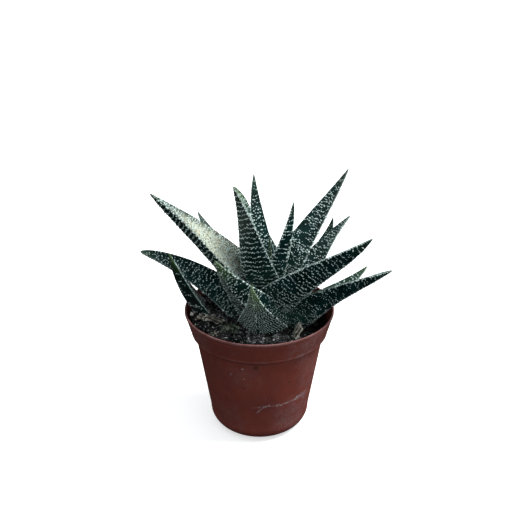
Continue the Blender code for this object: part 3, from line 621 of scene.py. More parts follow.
# The hair roots are fine and dry, and loop out of the soil.
HAIR_ROOT_COUNT = 420
HAIR_LIFT = 0.0012
HAIR_INSET = 0.0065
HAIR_SHADE = 0.85
HAIR_JOINTS = 6
HAIR_POINTS = 3 * HAIR_JOINTS + 2


def hairs(start, heading, length, rise, radius, bend):
    """Thin closed tubes, three-sided, that set off along the soil, arch over it and swerve by the bend."""
    share = np.linspace(0, 1, HAIR_JOINTS)
    turn = heading[:, None] + bend[:, None] * share
    step = np.stack([np.cos(turn), np.sin(turn), np.zeros_like(turn)], 2)
    path = start[:, None] + np.cumsum(step * (length / HAIR_JOINTS)[:, None, None], 1)
    path[..., 2] += rise[:, None] * np.sin(np.pi * share)
    side = np.stack([-np.sin(turn), np.cos(turn), np.zeros_like(turn)], 2)
    around = np.radians([90, 210, 330])[:, None]
    ring = side[:, :, None] * np.cos(around) + np.array([0, 0, 1.0]) * np.sin(around)
    thick = radius[:, None, None, None] * (1.05 - 0.5 * share[None, :, None, None])
    body = (path[:, :, None] + thick * ring).reshape(len(start), -1, 3)
    shape = np.concatenate([body, path[:, :1], path[:, -1:]], 1)
    return shape.reshape(-1, 3), repeated(as_triangles(closed_rings(HAIR_JOINTS, 3)), len(start), HAIR_POINTS)


x, y = scattered(draw, HAIR_ROOT_COUNT, 0.007)
points, faces = hairs(
    start=inside_wall(np.stack([x, y, soil_height(x, y) + HAIR_LIFT], 1), HAIR_INSET),
    heading=draw.uniform(0, 2 * np.pi, HAIR_ROOT_COUNT),
    length=draw.uniform(0.002, 0.006, HAIR_ROOT_COUNT),
    rise=draw.uniform(0.0003, 0.0016, HAIR_ROOT_COUNT),
    radius=draw.uniform(0.00008, 0.00018, HAIR_ROOT_COUNT),
    bend=draw.normal(0, 1.1, HAIR_ROOT_COUNT),
)
tone = draw.uniform(0.35, 1.0, HAIR_ROOT_COUNT) * (1 - HAIR_SHADE * in_hollow(x, y))
tone = np.repeat(tone, HAIR_POINTS)
soil_hair_roots = mesh_piece("soil_hair_roots", points, faces, soil_mix, tone=tone)
for piece in (soil_crumbs, soil_bark_bits, soil_hair_roots):
    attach(piece, "root")

# Bark flakes
# Five larger scraps of weathered bark on the soil: one long, one curled over, one on edge, one small and one
# at the back. Each is a thin plate, bowed across its grain, with ragged ends and ridges along it.
FLAKES = {
    # middle, (length, width, thickness), bow in degrees, (azimuth, pitch, roll), tone
    "bark_flake_long": ((-0.0250, -0.0165, 0.0752), (0.0105, 0.0045, 0.0013), 40, (-26, 4, 10), 0.22),
    "bark_chip_curled": ((-0.0325, -0.0135, 0.0752), (0.0045, 0.0075, 0.0012), 170, (80, 0, 0), 0.30),
    "bark_flake_upright": ((0.0205, -0.0255, 0.0722), (0.0085, 0.0050, 0.0012), 30, (35, -62, 0), 0.62),
    "bark_flake_small": ((-0.0238, -0.0262, 0.0716), (0.0055, 0.0040, 0.0012), 25, (60, 0, 12), 0.30),
    "bark_flake_back": ((-0.0130, 0.0320, 0.0700), (0.0090, 0.0050, 0.0013), 30, (15, 6, 0), 0.30),
}
FLAKE_STATIONS = 34
FLAKE_SIDES = 44


def turn_matrix(azimuth, pitch, roll):
    """Turns about X by roll, then about Y by pitch, then about Z by the azimuth, in degrees."""
    a, p, r = np.radians([azimuth, pitch, roll])
    about_z = np.array([[np.cos(a), -np.sin(a), 0], [np.sin(a), np.cos(a), 0], [0, 0, 1]])
    about_y = np.array([[np.cos(p), 0, np.sin(p)], [0, 1, 0], [-np.sin(p), 0, np.cos(p)]])
    about_x = np.array([[1, 0, 0], [0, np.cos(r), -np.sin(r)], [0, np.sin(r), np.cos(r)]])
    return about_z @ about_y @ about_x


def flake(draw, at, size, bow, turns, base_tone):
    """A plate bent into an arc across its width, with its faces and how pale each of its points is.

    Station u runs along it and v round its section, a flattened ring with round edges. Ridges run along it,
    and its ends are ragged. Its crests are paler and the furrows between them darker, partly its weathered
    grain and partly painted light and shade. Its edges and ends are paler by a painted highlight, and its
    underside darker by painted shade.
    """
    length, width, thickness = size
    u = np.linspace(-1, 1, FLAKE_STATIONS)[:, None]
    v = 2 * np.pi * np.arange(FLAKE_SIDES)[None] / FLAKE_SIDES
    across = np.cos(v) * (1 - 0.30 * np.abs(u) ** 3 - 0.12 * np.sin(4.3 * u + 1)) + 0.10 * np.sin(5 * u + 2)
    skin = np.sign(np.sin(v)) * np.abs(np.sin(v)) ** 0.6
    phase = draw.uniform(0, 6)
    ridge = np.sin(across * 8 + phase + 1.2 * np.sin(3 * u)) * 0.42 + np.sin(across * 17 + 4 * u) * 0.20
    ridge = ridge + np.sin(9 * u + 3 * across + phase) * 0.16 + draw.normal(0, 0.10, across.shape)
    taper = np.sqrt(np.clip(1 - np.abs(u) ** 8, 0.05, 1))
    radius = width / np.radians(bow)
    angle = across * np.radians(bow) / 2
    out = radius + skin * (1 + 1.3 * ridge) * taper * thickness / 2
    ragged = length / 2 * u * (1 + 0.22 * np.sin(across * 6 + 1 + phase) * np.abs(u) ** 3)
    points = np.stack([ragged, out * np.sin(angle), out * np.cos(angle) - radius], 2)
    points = np.vstack([points.reshape(-1, 3), points[[0, -1]].mean(1)])
    rim = np.maximum(np.abs(across), np.abs(u)) ** 6
    # Crests and furrows partly grain, partly painted light and shade; a painted highlight on the edges;
    # painted shade on the underside.
    tone = base_tone + 0.90 * ridge + 0.45 * rim + draw.normal(0, 0.05, ridge.shape) - 0.30 * (skin < 0)
    tone = np.clip(np.append(tone, [base_tone] * 2), 0, 1)
    return points @ turn_matrix(*turns).T + at, closed_rings(FLAKE_STATIONS, FLAKE_SIDES), tone


bark = soil_material(
    "bark", dark=(0.008, 0.008, 0.008), middle=(0.085, 0.078, 0.064), pale=(0.520, 0.490, 0.420),
    roughness=0.85, mottle=0.30,
)
draw = np.random.default_rng(33)
for name, form in FLAKES.items():
    points, faces, tone = flake(draw, *form)
    scrap = mesh_piece(name + "_grain", points, [face[::-1] for face in faces], bark, tone=tone)
    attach(scrap, "root")
    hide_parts(name)

# Fibre clumps
# Three tufts of dry grey fibre and peat, one of them green with moss, that lie on the soil. Each is a rough
# core with crumbs over it, bristling with short hairs.
fibre = soil_material(
    "fibre", dark=(0.005, 0.006, 0.006), middle=(0.085, 0.088, 0.090), pale=(0.600, 0.620, 0.640),
    roughness=0.9, mottle=0.40,
)
moss = soil_material(
    "moss", dark=(0.004, 0.007, 0.004), middle=(0.070, 0.100, 0.066), pale=(0.560, 0.640, 0.500),
    roughness=0.9, mottle=0.40,
)
FIBRE_CLUMPS = {
    # middle, half sizes, finish
    "fibre_clump_left": ((-0.0155, -0.0215, 0.0712), (0.0050, 0.0040, 0.0024), moss),
    "fibre_clump_front": ((-0.0005, -0.0315, 0.0704), (0.0062, 0.0036, 0.0020), fibre),
    "fibre_clump_right": ((0.0110, -0.0300, 0.0695), (0.0046, 0.0038, 0.0022), fibre),
}
CLUMP_CORE = (0.78, 0.78, 0.70)
CLUMP_CRUMB_LEAST = 0.0003
CLUMP_CRUMB_RANGE = 0.0006
HAIRS_PER_CLUMP = 320
CRUMBS_PER_CLUMP = 150
draw = np.random.default_rng(44)


def unit(vectors):
    """The vectors with their lengths made 1."""
    return vectors / np.maximum(np.linalg.norm(vectors, axis=-1, keepdims=True), 1e-12)


def upper_ways(draw, count):
    """Seeded directions over the upper half of a ball."""
    way = unit(draw.normal(size=(count, 3)))
    way[:, 2] = np.abs(way[:, 2])
    return way


def joined(parts):
    """Several shapes as one: each is its points, its faces, and then its values at every point."""
    faces, count = [], 0
    for points, part_faces, *_ in parts:
        rows = part_faces if isinstance(part_faces, list) else part_faces.tolist()
        faces += [[corner + count for corner in face] for face in rows]
        count += len(points)
    values = [np.concatenate(rows) for rows in zip(*[part[2:] for part in parts])]
    return np.vstack([part[0] for part in parts]), faces, *values


for name, (at, size, finish) in FIBRE_CLUMPS.items():
    core = corners * (1 + 0.2 * draw.uniform(-1, 1, (len(corners), 1))) * size * np.array(CLUMP_CORE) + at
    way = upper_ways(draw, CRUMBS_PER_CLUMP)
    crumb = CLUMP_CRUMB_LEAST + CLUMP_CRUMB_RANGE * draw.uniform(0, 1, (CRUMBS_PER_CLUMP, 1))
    spots = way * size * draw.uniform(0.75, 1.05, (CRUMBS_PER_CLUMP, 1)) + at
    crumbs = copies(corners, facets, spots, random_turns(draw, CRUMBS_PER_CLUMP), crumb, draw, 0.35)
    crumb_tone = np.repeat(draw.uniform(0, 1, CRUMBS_PER_CLUMP) ** 2, len(corners))
    tuft_hairs = hairs(
        start=upper_ways(draw, HAIRS_PER_CLUMP) * size * draw.uniform(0.6, 1.0, (HAIRS_PER_CLUMP, 1)) + at,
        heading=draw.uniform(0, 2 * np.pi, HAIRS_PER_CLUMP),
        length=draw.uniform(0.0012, 0.0034, HAIRS_PER_CLUMP),
        rise=draw.uniform(-0.0002, 0.0011, HAIRS_PER_CLUMP),
        radius=draw.uniform(0.00008, 0.00020, HAIRS_PER_CLUMP),
        bend=draw.normal(0, 1.3, HAIRS_PER_CLUMP),
    )
    hair_tone = np.repeat(draw.uniform(0, 1, HAIRS_PER_CLUMP) ** 1.5, HAIR_POINTS)
    points, faces, tone = joined([
        (core, facets, np.full(len(core), 0.02)), (*crumbs, crumb_tone), (*tuft_hairs, hair_tone),
    ])
    tuft = mesh_piece(name + "_tuft", points, faces, finish, False, tone=tone)
    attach(tuft, "root")
    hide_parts(name)

# Pumice pebble
# One pale, porous bead of pumice that lies at the left against the pot's wall. It is a lopsided ball, pitted
# all over.
PUMICE_AT = np.array([-0.0372, -0.0062, 0.0722])
PUMICE_SIZE = (0.0020, 0.0020, 0.0017)
PUMICE_RINGS = 24
PUMICE_SIDES = 40
PIT_COUNT = 60
PIT_RIM = 0.965
draw = np.random.default_rng(55)
lift = np.linspace(-90, 90, PUMICE_RINGS + 2)[1:-1]
lift, turn = np.meshgrid(lift, np.arange(0, 360, 360 / PUMICE_SIDES), indexing="ij")
lift, turn = np.radians(lift), np.radians(turn)
ball = np.stack([np.cos(lift) * np.cos(turn), np.cos(lift) * np.sin(turn), np.sin(lift)], 2)
pits = unit(draw.normal(size=(PIT_COUNT, 3)))
depth = np.clip((ball @ pits.T - PIT_RIM) / (1 - PIT_RIM), 0, 1).max(-1, keepdims=True)
ball = ball * (1.0 - 0.10 * depth + 0.05 * np.sin(4 * ball[..., :1] + 3) * np.cos(5 * ball[..., 1:2]))
points = np.vstack([ball.reshape(-1, 3), [[0, 0, -1.0], [0, 0, 1.0]]]) * PUMICE_SIZE + PUMICE_AT
pumice = soil_material(
    "pumice", dark=(0.30, 0.29, 0.26), middle=(0.62, 0.62, 0.56), pale=(0.93, 0.93, 0.88),
    roughness=0.9, mottle=0.15,
)
# The pits are darker than the rest of the bead: painted shade in them.
pumice_bead = mesh_piece(
    "pumice_bead", points, closed_rings(PUMICE_RINGS, PUMICE_SIDES), pumice,
    tone=np.append(1 - 0.7 * depth.ravel(), [1, 1]),
)
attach(pumice_bead, "root")
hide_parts("pumice_pebble")

# Stem
# The short fleshy stem, a ringed cone in the heart of the rosette that the leaves grow from. Their bases all
# but hide it.
STEM_AXIS = (0.0060, -0.0030)
STEM_OUTLINE = np.array([
    # radius, height
    (0.0, 0.0450), (0.0085, 0.0450), (0.0105, 0.0480), (0.0108, 0.0660), (0.0080, 0.0705),
    (0.0050, 0.0765), (0.0030, 0.0800), (0.0012, 0.0832), (0.0, 0.0838),
])
STEM_RING_DEPTH = 0.03
STEM_RING_PACE = 4200
STEM_STATIONS = 49
STEM_SIDES = 40
STEM_GREEN = (0.060, 0.085, 0.035)
SCAR_TAN = (0.150, 0.150, 0.080)
run = np.linspace(0, len(STEM_OUTLINE) - 1, STEM_STATIONS)
corner = np.arange(len(STEM_OUTLINE))
profile = np.stack([np.interp(run, corner, STEM_OUTLINE[:, axis]) for axis in (0, 1)], 1)
profile[1:-1, 0] *= 1 - STEM_RING_DEPTH * (1 + np.sin(profile[1:-1, 1] * STEM_RING_PACE))
stem_flesh, tree, shader, place = new_material("stem_flesh", Roughness=0.55, Specular_IOR_Level=0.4)
scars = masked(tree, PATCHES, stretched(tree, place, (1.0, 1.0, 4.0)), Scale=300.0, Low=0.4, High=0.6)
join_shader(tree, shader, Base_Color=mixed(tree, scars, STEM_GREEN, SCAR_TAN))
stem_cone = mesh_piece("stem_cone", *turned(profile, STEM_SIDES, STEM_AXIS), stem_flesh)
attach(stem_cone, "root")
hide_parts("stem")

# Leaves, their common form
# Each leaf is a stiff, fleshy tongue that narrows to a point: a hollow upper face, and a back that drops to a
# keel, round near the base and sharp near the tip. The skin is dark green and smooth. The white tubercles are
# small hard domes, in broken bands across the back, in dots on the upper face, and in rows on every edge.
LEAF_PULL = 0.36
BASE_NECK = 0.35
BASE_NECK_LENGTH = 0.22
CUP_LENGTH = 0.55
ROUND_KEEL = 2.1
SHARP_KEEL = 1.2
KEEL_LENGTH = 0.6
KEEL_ROUND = 0.07
UPPER_HOLLOW = 0.08
EDGE_ROUND = 0.0004
BACK_LINES = 23
UPPER_LINES = 13
EDGE_LINES = 3
LEAF_RINGS = 84
# What most leaves have in common: how they narrow, how deep the back is as a share of the half width, how far
# the keel lies to a side, and how far the margins curl up near the base.
LEAF_FORM = dict(taper=0.85, depth=0.62, keel_shift=0.0, cup=0.5)


def heading(azimuth, elevation):
    """Unit vector at a compass angle from +X and a climb angle, in degrees."""
    turn, climb = np.radians([azimuth, elevation])
    return np.array([np.cos(climb) * np.cos(turn), np.cos(climb) * np.sin(turn), np.sin(climb)])


def half_width(leaf, share):
    """Half the leaf's width: a power of what is left of the length, with a swell, narrower at the neck."""
    half = leaf["half_width"] * np.maximum(1 - share, 0) ** leaf["taper"] * (1 + leaf["swell"] * share)
    return half * (1 - BASE_NECK * (1 - np.minimum(share / BASE_NECK_LENGTH, 1)) ** 2)


def edge_round(leaf, share):
    """The round of the margins, which is less where the leaf is too narrow for it."""
    return np.minimum(EDGE_ROUND, 0.45 * half_width(leaf, share))


def leaf_length(leaf):
    """The length along the leaf's curve, a little more than the straight line from base to tip."""
    return np.linalg.norm(np.subtract(leaf["tip"], leaf["base"])) * 1.04


def leaf_points(leaf, share, flat):
    """Points in space from places in the leaf's sections, (sideways, upwards).

    The middle line is a cubic curve from base to tip, and the sections are rolled about it.
    """
    base, tip = np.array(leaf["base"]), np.array(leaf["tip"])
    pull = LEAF_PULL * np.linalg.norm(tip - base)
    leaving = base + pull * heading(*leaf["sets_off"])
    arriving = tip - pull * heading(*leaf["arrives"])
    t = share[..., None]
    u = 1 - t
    middle = u**3 * base + 3 * u**2 * t * leaving + 3 * u * t**2 * arriving + t**3 * tip
    along = unit(u**2 * (leaving - base) + 2 * u * t * (arriving - leaving) + t**2 * (tip - arriving))
    lean = math.radians(leaf["faces"])
    sideways = np.array([-math.sin(lean), math.cos(lean), 0.0])
    across = unit(sideways - (along @ sideways)[..., None] * along)
    up = np.cross(along, across)
    roll = np.radians(leaf["roll"][0] + (leaf["roll"][1] - leaf["roll"][0]) * share)[..., None]
    across, up = across * np.cos(roll) + up * np.sin(roll), up * np.cos(roll) - across * np.sin(roll)
    return middle + across * flat[..., :1] + up * flat[..., 1:]


def section(leaf, share, place, upper):
    """Place in the leaf's section, (sideways, upwards), on its upper face or its back.

    place runs from -1 at one margin to 1 at the other, with the keel at 0 on the back. The half width is
    taken smaller by the round of the edges, which is added again outside this outline.
    """
    half = half_width(leaf, share) - edge_round(leaf, share)
    cup = leaf["cup"] * np.clip(1 - share / CUP_LENGTH, 0, 1) ** 2
    sharpness = ROUND_KEEL + (SHARP_KEEL - ROUND_KEEL) * np.clip(share / KEEL_LENGTH, 0, 1)
    soft = (np.sqrt(place**2 + KEEL_ROUND**2) - KEEL_ROUND) / (math.sqrt(1 + KEEL_ROUND**2) - KEEL_ROUND)
    shift = leaf["keel_shift"]
    s = np.where(upper, place, shift + place * np.where(place < 0, 1 + shift, 1 - shift))
    drop = np.where(upper, UPPER_HOLLOW * (1 - place**2), leaf["depth"] * (1 - soft**sharpness))
    return np.stack([s * half * (1 - 0.25 * cup * np.abs(s)), (cup * s**2 - drop) * half], -1)


def leaf_surface(leaf, share, place, upper):
    """Points on the leaf's skin: the section's point, moved out along its normal by the edges' round."""
    share, place = np.broadcast_arrays(np.asarray(share, float), np.asarray(place, float))
    step = 1e-3
    ahead = section(leaf, share, np.minimum(place + step, 1), upper)
    behind = section(leaf, share, np.maximum(place - step, -1), upper)
    run = unit(ahead - behind) * (-1 if upper else 1)
    out = np.stack([run[..., 1], -run[..., 0]], -1)
    flat = section(leaf, share, place, upper) + out * edge_round(leaf, share)[..., None]
    return leaf_points(leaf, share, flat)


def leaf_skin(leaf):
    """The closed skin: rings of the section from base to tip, with the margins rounded by a fan of normals.

    With its points and faces come the share of the length, how far each point is on a rounded margin, whether
    it is on the upper face, and its place across that face.
    """
    run = np.linspace(0, 1, LEAF_RINGS + 1)[:-1]
    share = (0.55 * run + 0.45 * np.sin(run * np.pi / 2))[:, None]
    back = np.linspace(-1, 1, BACK_LINES)
    back = np.sin(back * np.pi / 2) * 0.5 + back * 0.5
    face = np.sin(np.linspace(1, -1, UPPER_LINES) * np.pi / 2)
    sides = []
    for place, upper in ((back, False), (face, True)):
        flat = section(leaf, share, place[None], upper)
        run = unit(np.gradient(flat, axis=1))
        sides.append((flat, np.stack([run[..., 1], -run[..., 0]], -1)))
    blend = (np.arange(1, EDGE_LINES + 1) / (EDGE_LINES + 1))[None, :, None]
    flats, outs = [], []
    for (flat, out), (_, next_out) in (sides, sides[::-1]):
        flats += [flat, np.repeat(flat[:, -1:], EDGE_LINES, 1)]
        outs += [out, unit(out[:, -1:] * (1 - blend) + next_out[:, :1] * blend)]
    flat = np.concatenate(flats, 1) + np.concatenate(outs, 1) * edge_round(leaf, share)[..., None]
    points = leaf_points(leaf, share, flat)
    poles = np.stack([points[0].mean(0), np.array(leaf["tip"])])
    rim = np.sin(np.pi * blend.ravel())
    on_edge = np.concatenate([np.zeros(BACK_LINES), rim, np.zeros(UPPER_LINES), rim])
    on_upper = np.zeros(flat.shape[1])
    on_upper[BACK_LINES + 1: BACK_LINES + UPPER_LINES + 2] = 1
    across_upper = np.concatenate([np.zeros(BACK_LINES), np.ones(EDGE_LINES), face, -np.ones(EDGE_LINES)])
    shares = np.append(np.repeat(share.ravel(), flat.shape[1]), [0, 1])
    lines = [np.append(np.tile(line, LEAF_RINGS), [0, 0]) for line in (on_edge, on_upper, across_upper)]
    return np.vstack([points.reshape(-1, 3), poles]), closed_rings(LEAF_RINGS, flat.shape[1]), shares, *lines


# How the tubercles lie on a face. pitch is the distance between rows, and step the distance along a row. wide
# and long are a dome's half sizes across and along the leaf, and proud its height. bare is the share of a row
# that is left out, in runs. wave and jitter are how far a row waves and each dome strays from it, as shares
# of the pitch. stray is how uneven the steps are, vary how uneven the sizes, and at_base how close and small
# the domes are at the leaf's base, as a share of what they are from the middle on.
BANDS = dict(
    pitch=0.0028, step=0.00088, wide=0.00052, long=0.00033, proud=0.00042,
    bare=0.12, wave=0.12, jitter=0.10, stray=0.20, vary=0.40, at_base=0.58,
)
BEAD_BANDS = dict(BANDS, pitch=0.0026, step=0.00096, wide=0.00042, jitter=0.14)
CLOSE_BANDS = dict(
    BANDS, pitch=0.0021, step=0.00100, wide=0.00040, long=0.00031, proud=0.00036, bare=0.14, jitter=0.20,
)
FAINT_BANDS = dict(CLOSE_BANDS, wide=0.00030, long=0.00024, bare=0.30)
SPARSE_BANDS = dict(CLOSE_BANDS, pitch=0.0025, bare=0.50)
FINE_BANDS = dict(
    BANDS, pitch=0.0015, step=0.00090, wide=0.00036, long=0.00025, proud=0.00030, bare=0.22, jitter=0.16,
)
HEART_BANDS = dict(BANDS, wide=0.00040, long=0.00027, bare=0.24)
DENSE_MARKS = dict(
    BANDS, pitch=0.0015, step=0.00115, wide=0.00058, long=0.00034, proud=0.00036, bare=0.14, jitter=0.26,
)
DOT_ROWS = dict(
    BANDS, pitch=0.0020, step=0.00145, wide=0.00047, long=0.00035, proud=0.00040, bare=0.10, jitter=0.20,
)
CLOSE_DOTS = dict(DOT_ROWS, pitch=0.0018, step=0.00130, bare=0.16)
FINE_DOTS = dict(
    pitch=0.00132, step=0.00132, wide=0.00030, long=0.00029, proud=0.00044,
    bare=0.0, wave=0.05, jitter=0.10, stray=0.07, vary=0.15, at_base=0.92,
)
EDGE_DOTS = dict(step=0.0018, wide=0.00050, long=0.00056, proud=0.00056, vary=0.40, at_base=0.7)
EDGE_NOTCHES = dict(EDGE_DOTS, step=0.0023, wide=0.00062, long=0.00066, proud=0.00072)
FINE_EDGE = dict(EDGE_DOTS, step=0.0012, wide=0.00042, long=0.00044, proud=0.00050, at_base=1.0)
EDGE_LINE = dict(EDGE_DOTS, step=0.0011, wide=0.00038, long=0.00048, proud=0.00044)
FULL_FROM = 0.45
KEEL_ROW_FROM = 0.45
ROW_STRAY = 0.07
EDGE_STRAY = 0.20
EDGE_SIDEWAYS = 0.02
EDGE_GAPS = 0.15
WAVE_DRIFT = 0.7
WAVE_LENGTH = 0.0085
BARE_RUN = 3
FIRST_SHARE = 0.06
LAST_SHARE = 0.985
MARGIN = 0.00035
SMALL_WIDTH = 0.0035
DULLEST_DOME = 0.7
BASE_GREEN = 0.05
# Shares of a leaf's length where its colours change, and where across the face the painted highlight lies.
BASE_LENGTH = 0.35
TIP_FULL = 0.97
UPPER_TIP_FROM, UPPER_TIP_FULL = 0.72, 0.92
HIGHLIGHT_FROM, HIGHLIGHT_FULL, HIGHLIGHT_FADES, HIGHLIGHT_ENDS = 0.20, 0.46, 0.55, 0.90
HIGHLIGHT_LIES, HIGHLIGHT_SPREAD = 0.25, 0.85

# One tubercle: a low closed dome of unit size, its foot sunk in the skin, with a foot ring and a shoulder.
DOME_SIDES = 7
turn = 2 * np.pi * np.arange(DOME_SIDES) / DOME_SIDES
lift = np.radians([[-8.0], [48.0]])
dome_rings = np.stack([np.cos(lift) * np.cos(turn), np.cos(lift) * np.sin(turn), np.sin(lift) + 0 * turn], 2)
DOME = np.vstack([dome_rings.reshape(-1, 3), [[0, 0, -0.8], [0, 0, 1.0]]])
DOME_FACES = as_triangles(closed_rings(len(lift), DOME_SIDES))


def closeness(share, marks):
    """Factor on the tubercles' spacing and size: least at the leaf's base, and 1 from near the middle on."""
    return marks["at_base"] + (1 - marks["at_base"]) * np.clip(share / FULL_FROM, 0, 1)


def rising(share, start, full):
    """0 at the start and 1 where it is full, with a straight run between and level beyond."""
    return np.clip((share - start) / (full - start), 0, 1)


def rows_on_face(draw, leaf, marks, low, high, upper):
    """Share of the length and place across of every tubercle on one face.

    Rows stand one pitch apart along the leaf, closer at its base. Each row waves in step with its neighbours,
    holds a dome every step, and is broken for a run of domes where a seeded table says so.
    """
    length = leaf_length(leaf)
    run = np.linspace(FIRST_SHARE, LAST_SHARE, 200)
    passed = np.append(0, np.cumsum(np.diff(run) * length / (marks["pitch"] * closeness(run[:-1], marks))))
    row = np.arange(int(passed[-1]))[:, None]
    share = np.interp(row + 0.5 + draw.normal(0, ROW_STRAY, row.shape), passed, run)
    slant = 1.0 if upper else math.hypot(1.0, leaf["depth"])
    width = half_width(leaf, share) * (high - low) * slant
    step = marks["step"] * closeness(share, marks)
    columns = np.arange(int((width / step).max()) + 2)
    phase = 0.5 * (row % 2) + draw.uniform(0, 5 * marks["stray"], row.shape)
    across = (columns - 0.5 + phase + draw.normal(0, marks["stray"], (len(row), len(columns)))) * step / width
    drift = np.cumsum(draw.normal(0, WAVE_DRIFT, row.shape), 0)
    wave = np.sin(across * width / WAVE_LENGTH * 2 * np.pi + drift) * marks["wave"]
    wander = wave + draw.normal(0, marks["jitter"], across.shape)
    breaks = draw.uniform(0, 1, (len(row), len(columns) // BARE_RUN + 1))
    bare = np.repeat(breaks, BARE_RUN, 1)[:, : len(columns)] < marks["bare"]
    keep = (across > MARGIN / width) & (across < 1 - MARGIN / width) & ~bare
    share = np.clip(share + wander * marks["pitch"] / length, 0.02, 0.99)
    return share[keep], low + across[keep] * (high - low)


def domes(draw, leaf, share, place, upper, marks):
    """Domes on the leaf's skin at those places, each squared to the skin, with their faces and shares."""
    step = 1e-3
    at = leaf_surface(leaf, share, place, upper)
    along = unit(leaf_surface(leaf, share + step, place, upper) - at)
    inward = np.where(place > 0, -1, 1) * step
    across = unit((leaf_surface(leaf, share, place + inward, upper) - at) * np.sign(inward)[:, None])
    out = unit(np.cross(across, along)) * (1 if upper else -1)
    across = np.cross(along, out)
    small = np.clip(half_width(leaf, share) / SMALL_WIDTH, 0.45, 1) ** 0.7 * closeness(share, marks) ** 0.7
    size = ((1 - marks["vary"] + 2 * marks["vary"] * draw.uniform(0, 1, len(share)) ** 1.5) * small)[:, None]
    axes = [across * marks["wide"] * size, along * marks["long"] * size, out * marks["proud"] * size]
    points = at[:, None] + np.einsum("kj,njc->nkc", DOME, np.stack(axes, 1))
    return points.reshape(-1, 3), repeated(DOME_FACES, len(share), len(DOME)), np.repeat(share, len(DOME))


def edge_domes(draw, leaf, side, marks):
    """A row of round domes along a margin (side -1 or 1) or along the keel (side 0), where it is sharp."""
    step = marks["step"] / leaf_length(leaf)
    share = np.arange(KEEL_ROW_FROM if side == 0 else FIRST_SHARE, LAST_SHARE, step)
    share = share + draw.normal(0, EDGE_STRAY, len(share)) * step
    share = share[draw.uniform(0, 1, len(share)) > EDGE_GAPS]
    place = np.clip(side + draw.normal(0, EDGE_SIDEWAYS, len(share)), -1, 1)
    return domes(draw, leaf, share, place, False, marks)


def grow_leaf(
    name, leaf, minus=BANDS, plus=BANDS, upper=DOT_ROWS, edges=EDGE_DOTS, horn=0.15, bloom=0.0, tint=0.0,
    tip=0.07, tip_from=0.84, upper_tip=0.0, base_shade=0.6,
):
    """One leaf: its skin and its tubercles, which stand for the node of that name.

    minus and plus are the patterns on the two flanks of the back, upper the one on the upper face, and edges
    the rows on the margins and the keel. horn is how white the edge itself is. The next argument sets how
    pale the upper face is made by a painted highlight. tint is how green the whole leaf is, tip its tip, from
    tip_from of its length on, and upper_tip the upper face there. The last argument sets how much darker the
    tubercles are at its base, painted shade deep in the rosette.
    """
    draw = np.random.default_rng(sum(name.encode()))
    leaf = dict(LEAF_FORM, **leaf)
    skin, faces, share, on_edge, on_upper, across_upper = leaf_skin(leaf)
    # Where the painted highlight lies on the upper face: along the middle of the leaf's length, off its
    # centre line.
    highlight_mask = rising(share, HIGHLIGHT_FROM, HIGHLIGHT_FULL) * rising(share, HIGHLIGHT_ENDS, HIGHLIGHT_FADES)
    highlight_mask = highlight_mask * np.exp(-(((across_upper - HIGHLIGHT_LIES) / HIGHLIGHT_SPREAD) ** 2))
    fresh_face = upper_tip * on_upper * rising(share, UPPER_TIP_FROM, UPPER_TIP_FULL)
    parts = [(skin, faces, share, on_edge * horn, on_upper * bloom * highlight_mask)]
    grown = []
    for marks, low, high, is_upper in ((minus, -1, 0, False), (plus, 0, 1, False), (upper, -1, 1, True)):
        spots = rows_on_face(draw, leaf, marks, low, high, is_upper)
        grown.append(domes(draw, leaf, *spots, is_upper, marks))
    if edges:
        grown += [edge_domes(draw, leaf, side, edges) for side in (-1, 0, 1)]
    for points, faces, share in grown:
        # Painted shade: the tubercles darken towards the leaf's base, deep in the rosette.
        unshaded = 1 - base_shade * rising(share, BASE_LENGTH, 0.0)
        pearl = np.repeat(draw.uniform(DULLEST_DOME, 1.0, len(share) // len(DOME)), len(DOME)) * unshaded
        parts.append((points, faces, share, pearl, np.zeros(len(share))))
    points, faces, share, pearl, blooms = joined(parts)
    fresh = tint + tip * rising(share, tip_from, TIP_FULL) + BASE_GREEN * rising(share, BASE_LENGTH, 0.0)
    fresh[: len(skin)] += fresh_face
    fresh = np.clip(fresh, 0, 1)
    piece = mesh_piece(name + "_skin", points, faces, leaf_flesh, pearl=pearl, fresh=fresh, bloom=blooms)
    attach(piece, "root")
    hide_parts(name)


SKIN_DEEP = (0.0006, 0.0130, 0.0110)
SKIN_TEAL = (0.0050, 0.0340, 0.0325)
SKIN_FRESH = (0.240, 0.380, 0.150)
PEARL = (0.80, 0.97, 0.94)
HIGHLIGHT_CREAM = (1.00, 0.99, 0.76)

leaf_flesh, tree, shader, place = new_material("leaf_flesh", Specular_IOR_Level=0.15, IOR=1.45)
pearl, bloom, fresh = (
    put(tree, "Attribute", attribute_name=name).outputs["Fac"] for name in ("pearl", "bloom", "fresh")
)
colour = mixed(tree, masked(tree, PATCHES, place, Scale=110.0, Low=0.35, High=0.65), SKIN_DEEP, SKIN_TEAL)
colour = mixed(tree, fresh, colour, SKIN_FRESH)
# The cream painted highlight on the upper face, broken into patches.
bloomed = masked(tree, PATCHES, place, Scale=1000.0, Low=0.39, High=0.51)
colour = mixed(tree, times(tree, bloom, bloomed), colour, HIGHLIGHT_CREAM)
colour = mixed(tree, pearl, colour, mixed(tree, times(tree, fresh, 0.35), PEARL, SKIN_FRESH))
rough = ramp(tree, pearl, 0.0, 1.0, 0.38, 0.50)
pores = bumpy(tree, place, 1900.0, 2.0, distance=0.0001, strength=0.5)
join_shader(tree, shader, Base_Color=colour, Roughness=rough, Normal=pores)

